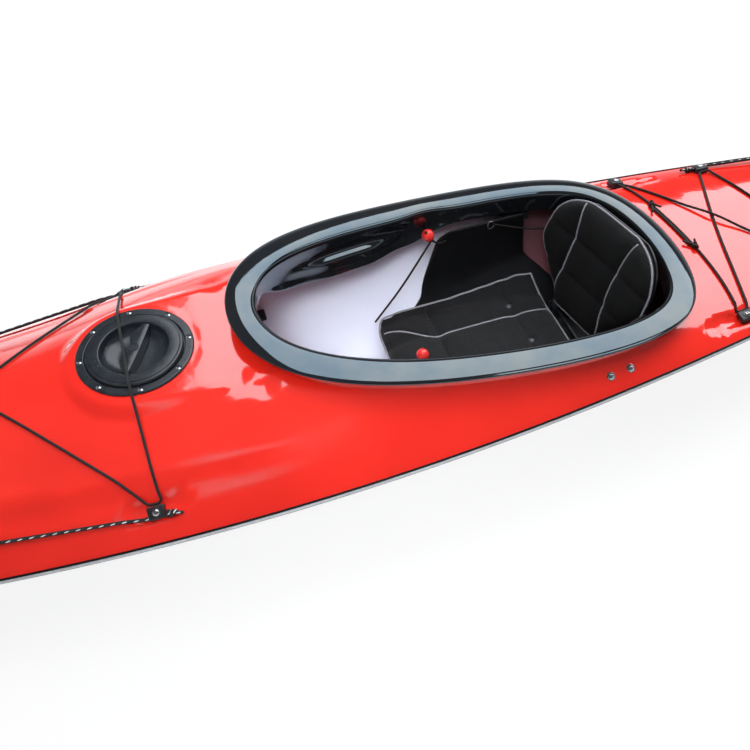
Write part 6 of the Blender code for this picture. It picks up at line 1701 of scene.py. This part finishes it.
def make_cushion():
    """The seat cushion: nine quilted fields, a raised front, three tufts and grey piping."""
    centre = 0.5 * (SEAT_FRONT + SEAT_REAR)
    half = 0.5 * (SEAT_FRONT - SEAT_REAR)
    seams = [("v", y / CUSHION_HALF_WIDTH) for y in (PIPING_Y, -PIPING_Y)]
    seams += [("u", (x - centre) / half) for x in (SEAM_FRONT_X, SEAM_REAR_X)]
    low, top = [], []
    for u in evenly(49):
        low.append([])
        top.append([])
        for v in evenly(41):
            for tuck, row in ((0.955, low[-1]), (0.995, top[-1])):
                x = centre + half * u * (1.0 - 0.040 * abs(v) ** 6) * tuck
                y = CUSHION_HALF_WIDTH * v * (1.0 - 0.05 * abs(u) ** 6) * tuck
                z = float(pan_height(np.array(x), np.array(y))) + 0.0016
                if row is top[-1]:
                    front = lerp(1.0, CUSHION_FRONT, float(ease(0.35, 1.0, u)))
                    crown = PAN_FLOOR + CUSHION_HEIGHT * 0.90 * front * pad_height(u, v, seams)
                    z = max(crown, z + CUSHION_EDGE)
                row.append((x, y, z))

    def over_tufts(places, base, share, width):
        for tx, ty in TUFTS:
            base = np.maximum(base, share * bell(np.hypot(places[:, 0] - tx, places[:, 1] - ty), width))
        return base

    def held(places):
        away, _ = cushion_seams(places)
        top_side = places[:, 2] > pan_height(places[:, 0], places[:, 1]) + 0.008
        return over_tufts(places, np.where(top_side, 1.0 - ease(0.002, 0.007, away), 1.0), 1.0, 0.007)

    mesh = plump("cushion", grid_pad(low, top), held, 0.007)
    places = vectors_of(mesh.vertices, "co", float)
    x, y = places[:, 0], places[:, 1]
    upper = ease(0.30, 0.70, vectors_of(mesh.vertex_normals, "vector")[:, 2])
    upper = upper * ease(0.004, 0.012, places[:, 2] - pan_height(x, y))
    away, along = cushion_seams(places)
    out = np.maximum(np.abs(x - centre) / half, np.abs(y) / CUSHION_HALF_WIDTH)
    seam = SEAM_SUNK * bell(away, SEAM_WIDTH) * (out < 0.95)
    places[:, 2] -= over_tufts(places, seam, TUFT_SUNK, TUFT_WIDTH) * upper
    set_points(mesh, places)
    pucker(mesh, np.minimum(away, 0.16 * np.abs(out - 1.0) + 0.002), along, 0.00035, 0.014)
    tree = tree_of(mesh)
    made = add_piece("cushion", mesh, "pad_black", "kayak", "pad_black", "seat_cushion")

    xs = np.linspace(SEAT_REAR + 0.004, SEAT_FRONT - 0.003, 40)
    runs = [[(x, side * float(long_seam(x)), 0.30) for x in xs] for side in (-1, 1)]
    tubes = piping(tree, border_of(np.array(top))[::3], runs, (0.0, 0.0, -1.0))
    tube_piece("cushion_piping", tubes, "piping_grey", "kayak", "pad_black")
    buttons = []
    for tx, ty in TUFTS:
        spot, normal, _, _ = tree.ray_cast(Vector((tx, ty, 0.3)), Vector((0.0, 0.0, -1.0)))
        button = ((0.0, -0.003), (0.0062, -0.003), (0.0066, 0.0020), (0.0058, 0.0034), (0.0036, 0.0042),
                  (0.0, 0.0045))
        buttons.append(spin(button, axis_frame(spot, normal), SMALL_STEPS))
    add_solid("cushion_buttons", join_parts(buttons), "button_black", "kayak", "pad_black")


def back_frame():
    """The backrest's frame: origin on its hinge axis, X forward out of the pad, Z up it."""
    place = turned(Matrix.Translation((BACK_PIVOT_X, 0.0, BACK_PIVOT_Z)), BACK_YAW, "Z")
    return turned(turned(place, -BACK_LEAN - 0.015, "Y"), BACK_ROLL, "X")


def back_half(z):
    """Half the backrest pad's width at a height up it: a rounded shield that narrows to its foot."""
    share = np.clip((z - BACK_KNEE) / (BACK_TOP - BACK_KNEE), 0.0, 1.0)
    above = BACK_HALF * (1.0 - share ** 2.6) ** 0.316
    below = BACK_HALF * np.interp(z, (0.02, 0.06, 0.10, 0.14), (0.46, 0.60, 0.84, 1.0))
    return np.where(z > BACK_KNEE, above, below)


def back_wrap(y, z):
    """How far the backrest's sides curl forward."""
    return BACK_WRAP * (np.abs(y) / BACK_HALF) ** 2.2 * ease(0.02, 0.13, z)


def back_place(z, v, depth):
    """A point on the backrest at a height, a width share and a depth behind its middle sheet."""
    y = float(back_half(np.array(z))) * v
    return Vector((float(back_wrap(np.array(y), np.array(z))) - depth, y - 0.003, z))


def back_levels():
    """Heights up the backrest, close together where its top rounds over."""
    low = np.linspace(BACK_FOOT, BACK_KNEE, BACK_ROWS[0], endpoint=False)
    turn = np.linspace(0.0, 0.455 * math.pi, BACK_ROWS[1])
    return np.concatenate([low, BACK_KNEE + (BACK_TOP - BACK_KNEE) * np.sin(turn)])


def back_seam(side, z):
    """Place across the backrest of one of its two upright piped seams."""
    above, below = np.clip((z - 0.15) / 0.11, 0.0, 1.0), np.clip((0.15 - z) / 0.09, 0.0, 1.0)
    return side * (BACK_SEAM + (0.016 * above ** 2 + 0.010 * below ** 2)) - 0.010


def make_backrest():
    """The backrest: three upright quilted panels with grey piping, on a curved plate."""
    place = back_frame()
    pad_back = PLATE_FRONT - GAP - 0.0016
    levels = back_levels()
    rear, front = [], []
    for z in levels:
        wide = float(back_half(z))
        rear.append([])
        front.append([])
        for v in evenly(57):
            edge = min(wide * (1.0 - abs(v)), z - BACK_FOOT, (levels[-1] - z) * 1.6)
            height = 0.40 + 0.46 * (1.0 - math.exp(-max(edge, 0.0) / 0.014))
            for side in (-1, 1):
                height -= 0.13 * float(bell(wide * v - back_seam(side, z), 0.012))
            height -= 0.06 * sum(float(bell(z - level, 0.010)) for level in BACK_CHANNELS)
            rear[-1].append(tuple(back_place(z, v * 0.95, pad_back - 0.003 * abs(v) ** 8)))
            front[-1].append(tuple(back_place(z, v * 0.99, pad_back - BACK_PAD * height)))

    def off_seams(places):
        y, z = places[:, 1], places[:, 2]
        seam = np.minimum(np.abs(y - back_seam(-1, z)), np.abs(y - back_seam(1, z)))
        channel = np.minimum(np.abs(z - BACK_CHANNELS[0]), np.abs(z - BACK_CHANNELS[1]))
        return seam, channel

    def held(places):
        seam, channel = off_seams(places)
        rear_side = places[:, 0] < back_wrap(places[:, 1], places[:, 2]) - pad_back + 0.006
        weights = np.maximum(1.0 - ease(0.002, 0.007, seam), 0.7 * (1.0 - ease(0.0, 0.006, channel)))
        return np.where(rear_side, 1.0, weights)

    mesh = plump("back_pad", grid_pad(rear, front), held, 0.006)
    places = vectors_of(mesh.vertices, "co", float)
    seam, channel = off_seams(places)
    facing = ease(0.3, 0.7, vectors_of(mesh.vertex_normals, "vector")[:, 0])
    places[:, 0] -= facing * (SEAM_SUNK * bell(seam, SEAM_WIDTH) + CHANNEL_SUNK * bell(channel, CHANNEL_WIDTH))
    set_points(mesh, places)
    height = np.clip(places[:, 2], BACK_FOOT, BACK_TOP - 0.002)
    rim = np.maximum(back_half(height) - np.abs(places[:, 1]), 0.0)
    away = np.minimum(np.minimum(seam, channel + 0.006), rim + 0.003)
    pucker(mesh, away, np.where(seam < channel, places[:, 2], places[:, 1]), 0.00030, 0.012)
    zs = np.linspace(BACK_FOOT + 0.003, BACK_TOP - 0.004, 44)
    runs = [[(0.20, float(back_seam(side, z)), z) for z in zs] for side in (-1, 1)]
    tubes = [(*moved(cord[:2], place), cord[2])
             for cord in piping(tree_of(mesh), border_of(np.array(front))[::3], runs, (-1.0, 0.0, 0.0), 0.2)]
    mesh.transform(place)
    # The backrest pad wears the darker cloth: painted shade
    made = add_piece("back_cushion", mesh, "back_black", "backrest", "pad_black", "backrest_pad")
    tube_piece("back_piping", tubes, "piping_grey", "backrest", "pad_black")

    near, far = ([[tuple(place @ back_place(z, v * 0.93, depth)) for v in np.linspace(-1.0, 1.0, 49)]
                  for z in levels[:-3]] for depth in (PLATE_FRONT, PLATE_FRONT + 0.004))
    parts = [grid_pad(far, near)]
    level = turned(Matrix.Translation((BACK_PIVOT_X, 0.0, BACK_PIVOT_Z)), -BACK_LEAN, "Y")
    sleeve = mirrored(((0.0024, -0.009), (0.0074, -0.009), (0.008, -0.0084)))
    for side in (-1, 1):
        y = side * 0.075
        parts.append(spin(sleeve, turned(shifted(level, y=y), math.radians(90.0), "X"), SMALL_STEPS))
        for low, high in (((-0.021, -0.004), (-0.0030, 0.010)), ((-0.026, -0.002), (-0.0135, 0.046))):
            box = rounded_box((low[0], y - 0.0080, low[1]), (high[0], y + 0.0080, high[1]), 0.0012)
            parts.append(moved(box, level))
    add_solid("back_plate", join_parts(parts), "matte_black", "backrest", "matte_black", "backrest_plate")


def make_blended(name, points, child, *nodes):
    """A cord from a point fixed to the hull to one on a moving body, made as one piece that does not follow the
    body.
    """
    cord = tube(smooth_route(points, SEAT_CORD_STEP), SEAT_CORD_RADIUS)
    made = tube_piece(name, [cord], "cord_black", None, "cord_black", *nodes)
    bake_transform(made)


def make_ball(word, centre, axis):
    """A pull ball with its bored hole, the stub of cord in it and the knot under it."""
    place = axis_frame(centre, axis, (0.0, 1.0, 0.0))
    bore = SEAT_CORD_RADIUS + 0.0007
    low = math.asin(bore / BALL_RADIUS) + 0.05
    profile = [(BALL_RADIUS * math.sin(a), -BALL_RADIUS * math.cos(a))
               for a in np.linspace(low, math.pi - low, 25)]
    profile = [(bore, -BALL_RADIUS * 0.90)] + profile + [(bore, BALL_RADIUS * 0.90)]
    add_solid(f"ball_{word}_shell", spin(profile, place, 40), "ball_red", f"ball_{word}", "ball_red",
              f"pull_ball_{word}", angle=50.0)
    stub = [place @ Vector((0.0, 0.0, z)) for z in np.linspace(-BALL_RADIUS - 0.004, BALL_RADIUS + 0.0035, 8)]
    knot = place @ Vector((0.0, 0.0, -BALL_RADIUS - 0.0072))
    tubes = [tube(stub, SEAT_CORD_RADIUS)] + knot_tubes(knot, place.to_3x3() @ UP, SEAT_CORD_RADIUS * 0.95)
    tube_piece(f"ball_{word}_knot", tubes, "cord_black", f"ball_{word}", "cord_black")
    return place @ Vector((0.0, 0.0, -BALL_RADIUS - 0.0100))


def make_seat_cords():
    """The lift cords with their pull balls, and the backrest's cords with their rings."""
    far = make_ball("starboard", Vector(STARBOARD_BALL), Vector(STARBOARD_BALL_AXIS))
    near = make_ball("port", Vector(PORT_BALL), Vector(PORT_BALL_AXIS))
    corner = CUSHION_HALF_WIDTH * 0.93
    toe = SEAT_FRONT - 0.0054 + SEAT_CORD_RADIUS + 0.0010
    anchor = Vector((WING_TOP_FRONT - 0.010, WING_HALF - SEAT_CORD_RADIUS - CORD_GAP, WING_TOP - 0.0150))
    shelf = Vector((anchor.x, -anchor.y, anchor.z))
    low = Vector((toe, -corner, LIFT_ANCHOR_Z))
    middle = far.lerp(low, 0.5) + Vector((0.004, 0.006, -0.006))
    make_blended("lift_cord_starboard_fore", [low, middle, far], "ball_starboard", "lift_cord_starboard")
    middle = shelf.lerp(far, 0.5) + Vector((0.0, 0.004, -0.004))
    make_blended("lift_cord_starboard_aft", [shelf, middle, far], "ball_starboard")
    low = Vector((toe, corner, LIFT_ANCHOR_Z))
    rest_z = PAN_FLOOR + CUSHION_HEIGHT * CUSHION_FRONT + 0.0066
    rest = Vector((SEAT_FRONT - 0.030, CUSHION_HALF_WIDTH - 0.068, rest_z))
    lip = Vector((toe + 0.001, corner - 0.012, PAN_FLOOR + CUSHION_HEIGHT + 0.006))
    make_blended("lift_cord_port_fore", [low, lip, rest, near], "ball_port", "lift_cord_port")
    middle = anchor.lerp(near, 0.55) + Vector((0.0, 0.0, -0.012))
    make_blended("lift_cord_port_aft", [anchor, middle, near], "ball_port")

    for side, word in SIDES:
        centre = Vector((RING_X, side * (WING_HALF - 0.0020), RING_Z + RING_LIFT))
        loop = [Vector((RING_RADIUS * math.cos(a), 0.0, RING_RADIUS * math.sin(a)))
                for a in np.linspace(0.35 * math.pi, 1.65 * math.pi, 19)]
        flat = loop[-1] * 0.5 + loop[0] * 0.5
        loop.append(Vector((flat.x + 0.0008, 0.0, flat.z)))
        ring = tube(smooth_route(looped([centre + point for point in loop]), 0.0016), RING_WIRE, sides=12)
        add_solid("d_ring_" + word, ring[:2], "steel", "kayak", "steel", "cord_ring_" + word, angle=60.0)
        start = Vector((RING_X - RING_RADIUS, side * (WING_HALF - 0.0032), RING_Z + RING_LIFT))
        end = back_frame() @ back_place(0.150, side * 0.985, 0.004)
        sag = start.lerp(end, 0.5) + Vector((0.0, 0.0, -0.004))
        make_blended("back_cord_" + word, [start, sag, end], "backrest", "backrest_cord_" + word)


def make_toggle(word, end):
    """A carrying toggle at one end: pad eye with two screws, webbing strap and ribbed grip."""
    joint = next(j for j in frame["joints"] if j["name"] == word + "_toggle_swing")
    pivot = Vector(joint["pos_m"])
    normal = Vector(deck_normal(np.array([pivot.x]), np.array([0.0]))[0])
    place = axis_frame(pivot, Vector((normal.x, 0.0, normal.z)), (-end, 0.0, 0.0))
    base = -PIN_HEIGHT
    foot = rounded_box((-0.016, -0.0125, base - 0.002), (0.016, 0.0125, base + 0.0026), 0.0009)
    parts = [moved(foot, place)]
    for side in (-1, 1):
        low = min(side * 0.0075, side * 0.0105)
        parts.append(moved(rounded_box((-0.0062, low, base), (0.0062, low + 0.0030, 0.0052), 0.0008), place))
        parts.append(screw_part(shifted(place, side * 0.0115, 0.0, base + 0.0024), 0.0032, 0.0014))
    axle = turned(place, math.radians(90.0), "X")
    parts.append(spin(mirrored(((0.0, -0.0112), (EYE_PIN, -0.0112))), axle, 24))
    add_solid(word + "_eye", join_parts(parts), "steel", "kayak", "steel", word + "_pad_eye", angle=35.0)

    hang = turned(place, math.radians(-4.0), "Y")
    rows = []
    for inset, widths in ((0.0, (-STRAP_HALF, STRAP_HALF)), (STRAP_SHELL, (STRAP_HALF, -STRAP_HALF))):
        small, big = 0.0062 - inset, TOGGLE_RADIUS + 0.0030 - inset
        loop = [(small * math.cos(a), small * math.sin(a))
                for a in np.linspace(0.5 * math.pi, 1.5 * math.pi, 15)]
        loop += [(STRAP_REACH + big * math.cos(a), big * math.sin(a))
                 for a in np.linspace(-0.5 * math.pi, 0.5 * math.pi, 21)]
        rows += [[tuple(hang @ Vector((a, width, b))) for a, b in loop] for width in widths]
    add_solid(word + "_webbing", skin(rows, closed=True), "lining_black", word + "_toggle", "cord_black",
              word + "_toggle_strap")
    half = TOGGLE_LENGTH / 2.0
    cap = [(0.0, -half), (TOGGLE_RADIUS * 0.9, -half), (TOGGLE_RADIUS * 1.15, -half + 0.0012),
           (TOGGLE_RADIUS * 1.25, -half + 0.004), (TOGGLE_RADIUS * 1.25, -half + 0.012)]
    ribs = []
    for y in np.linspace(-half + 0.017, half - 0.017, 57):
        groove = 0.0007 * max(0.0, math.sin(2.0 * math.pi * y / 0.0075)) if abs(y) > 0.010 else 0.0
        ribs.append((TOGGLE_RADIUS - groove, y))
    profile = cap + ribs + [(a, -b) for a, b in reversed(cap)]
    axle = turned(shifted(hang, STRAP_REACH), math.radians(90.0), "X")
    add_solid(word + "_grip", spin(profile, axle, 36), "rubber_black", word + "_toggle", "matte_black",
              word + "_toggle")


make_deck()
make_hull()
make_trims()
make_coaming()
make_hatch()
bow_places = [make_block("bow_block_" + word, x, side * reach * float(half_beam(x)))
              for (x, reach, word), side in zip(BOW_BLOCKS, BLOCK_SIDES)]
stern_places = [make_block("stern_block_" + word, x, side * reach * float(half_beam(x)))
                for (x, reach, word), side in zip(STERN_BLOCKS, BLOCK_SIDES)]
bow_end = make_block("bow_block_end", BOW_LINE_END, 0.0)
stern_end = make_block("stern_block_end", STERN_LINE_END, 0.0)
make_bow_cords(bow_places)
make_stern_cords(stern_places)
make_safety_line("bow_line", "bow_safety_line", bow_places, BLOCK_SIDES, bow_end, True)
make_safety_line("stern_line", "stern_safety_line", stern_places[2:], BLOCK_SIDES[2:], stern_end, False)
make_side_screws()
make_seat_pan()
make_cushion()
make_backrest()
make_seat_cords()
make_toggle("bow", 1)
make_toggle("stern", -1)

# The studio: a pale floor, soft boxes and a plain bright surround. Each lamp's row gives its place, the way
# it faces, its width, height and radiance, its tint, and the rays that don't see it.
LAMPS = {
    "overhead": ((-3.80, -2.15, 3.30), (0.0, 0.0, -1.0), 8.50, 4.20, 3.4, (0.90, 0.95, 1.0), None),
    "sky": ((0.0, 0.0, 3.40), (0.0, 0.0, -1.0), 4.60, 2.40, 2.15, (1.0, 0.99, 0.98), "visible_glossy"),
    "brace": ((-2.70, 1.60, 3.30), (0.0, 0.0, -1.0), 2.40, 2.00, 3.0, (0.88, 0.94, 1.0), "visible_diffuse"),
    "front": ((0.9, 2.9, 2.0), (-0.30, -0.80, -0.45), 2.6, 1.8, 0.3, (1.0, 0.98, 0.96), "visible_glossy"),
    "well": ((0.50, 1.25, 2.10), (-0.42, -1.37, -2.0), 0.8, 0.8, 0.74, (0.93, 0.95, 1.0), "visible_glossy"),
}
WELL_SPREAD = math.radians(26.0)
FLOOR_REACH = 14.0
FLOOR_DROP = 0.001
FLOOR_WHITE_SHARE = 0.85

for name, (place, facing, width, height, radiance, tint, unseen) in LAMPS.items():
    data = bpy.data.lights.new(name, "AREA")
    data.shape = "RECTANGLE"
    data.size, data.size_y = width, height
    data.energy = radiance * math.pi * width * height
    data.color = tint
    lamp = bpy.data.objects.new(name, data)
    scene.collection.objects.link(lamp)
    lamp.location = place
    if facing[0] or facing[1]:
        lamp.rotation_euler = Vector(facing).to_track_quat("-Z", "Y").to_euler()
    lamp.visible_camera = False
    if unseen:
        setattr(lamp, unseen, False)
bpy.data.lights["well"].spread = WELL_SPREAD
# The brace lamp makes the highlight on the thigh brace, so it lights the coaming alone
brace_only = bpy.data.collections.new("brace_only")
brace_only.objects.link(bpy.data.objects["coaming"])
bpy.data.objects["brace"].light_linking.receiver_collection = brace_only

# The surround: camera rays see white, reflections see a bright horizon that fades upwards
world = bpy.data.worlds.new("surround")
scene.world = world
world.use_nodes = True
air = Nodes(world.node_tree)
rays = air.node("LightPath").outputs
upward = air.node("SeparateXYZ", Vector=air.node("TexCoord").outputs["Generated"]).outputs["Z"]
mirror_ray = air.math("MAXIMUM", air.math("MAXIMUM", rays["Is Camera Ray"], rays["Is Glossy Ray"]),
                      rays["Is Transmission Ray"])
fade = air.span(upward, 1.0, 0.10, 0.03, 0.30)
strength = air.node("Mix", Factor=mirror_ray, A=0.25, B=fade).outputs["Result"]
air.fill(world.node_tree.nodes["Background"], Color=(0.96, 0.97, 1.0, 1.0),
         Strength=air.math("MAXIMUM", strength, rays["Is Camera Ray"]))

# The floor: pale and matt, with most of what the camera sees of it plain white, so the shadow stays soft
floor_look = Look("studio_floor", (0.86, 0.86, 0.86), 0.9, Specular_IOR_Level=0.1)
seen = floor_look.math("MULTIPLY", floor_look.node("LightPath").outputs["Is Camera Ray"], FLOOR_WHITE_SHARE)
glow = floor_look.node("Emission", Strength=1.0).outputs["Emission"]
mixer = floor_look.node("MixShader", Fac=seen)
floor_look.tree.links.new(floor_look.shader.outputs["BSDF"], mixer.inputs[1])
floor_look.tree.links.new(glow, mixer.inputs[2])
floor_look.fill(floor_look.tree.nodes["Material Output"], Surface=mixer.outputs["Shader"])
floor_mesh = bpy.data.meshes.new("studio_floor")
corners = [(side * FLOOR_REACH, end * FLOOR_REACH, -FLOOR_DROP)
           for side, end in ((-1, -1), (1, -1), (1, 1), (-1, 1))]
floor_mesh.from_pydata(corners, [], [(0, 1, 2, 3)])
floor_mesh.materials.append(floor_look.material)
floor = bpy.data.objects.new("studio_floor", floor_mesh)
scene.collection.objects.link(floor)
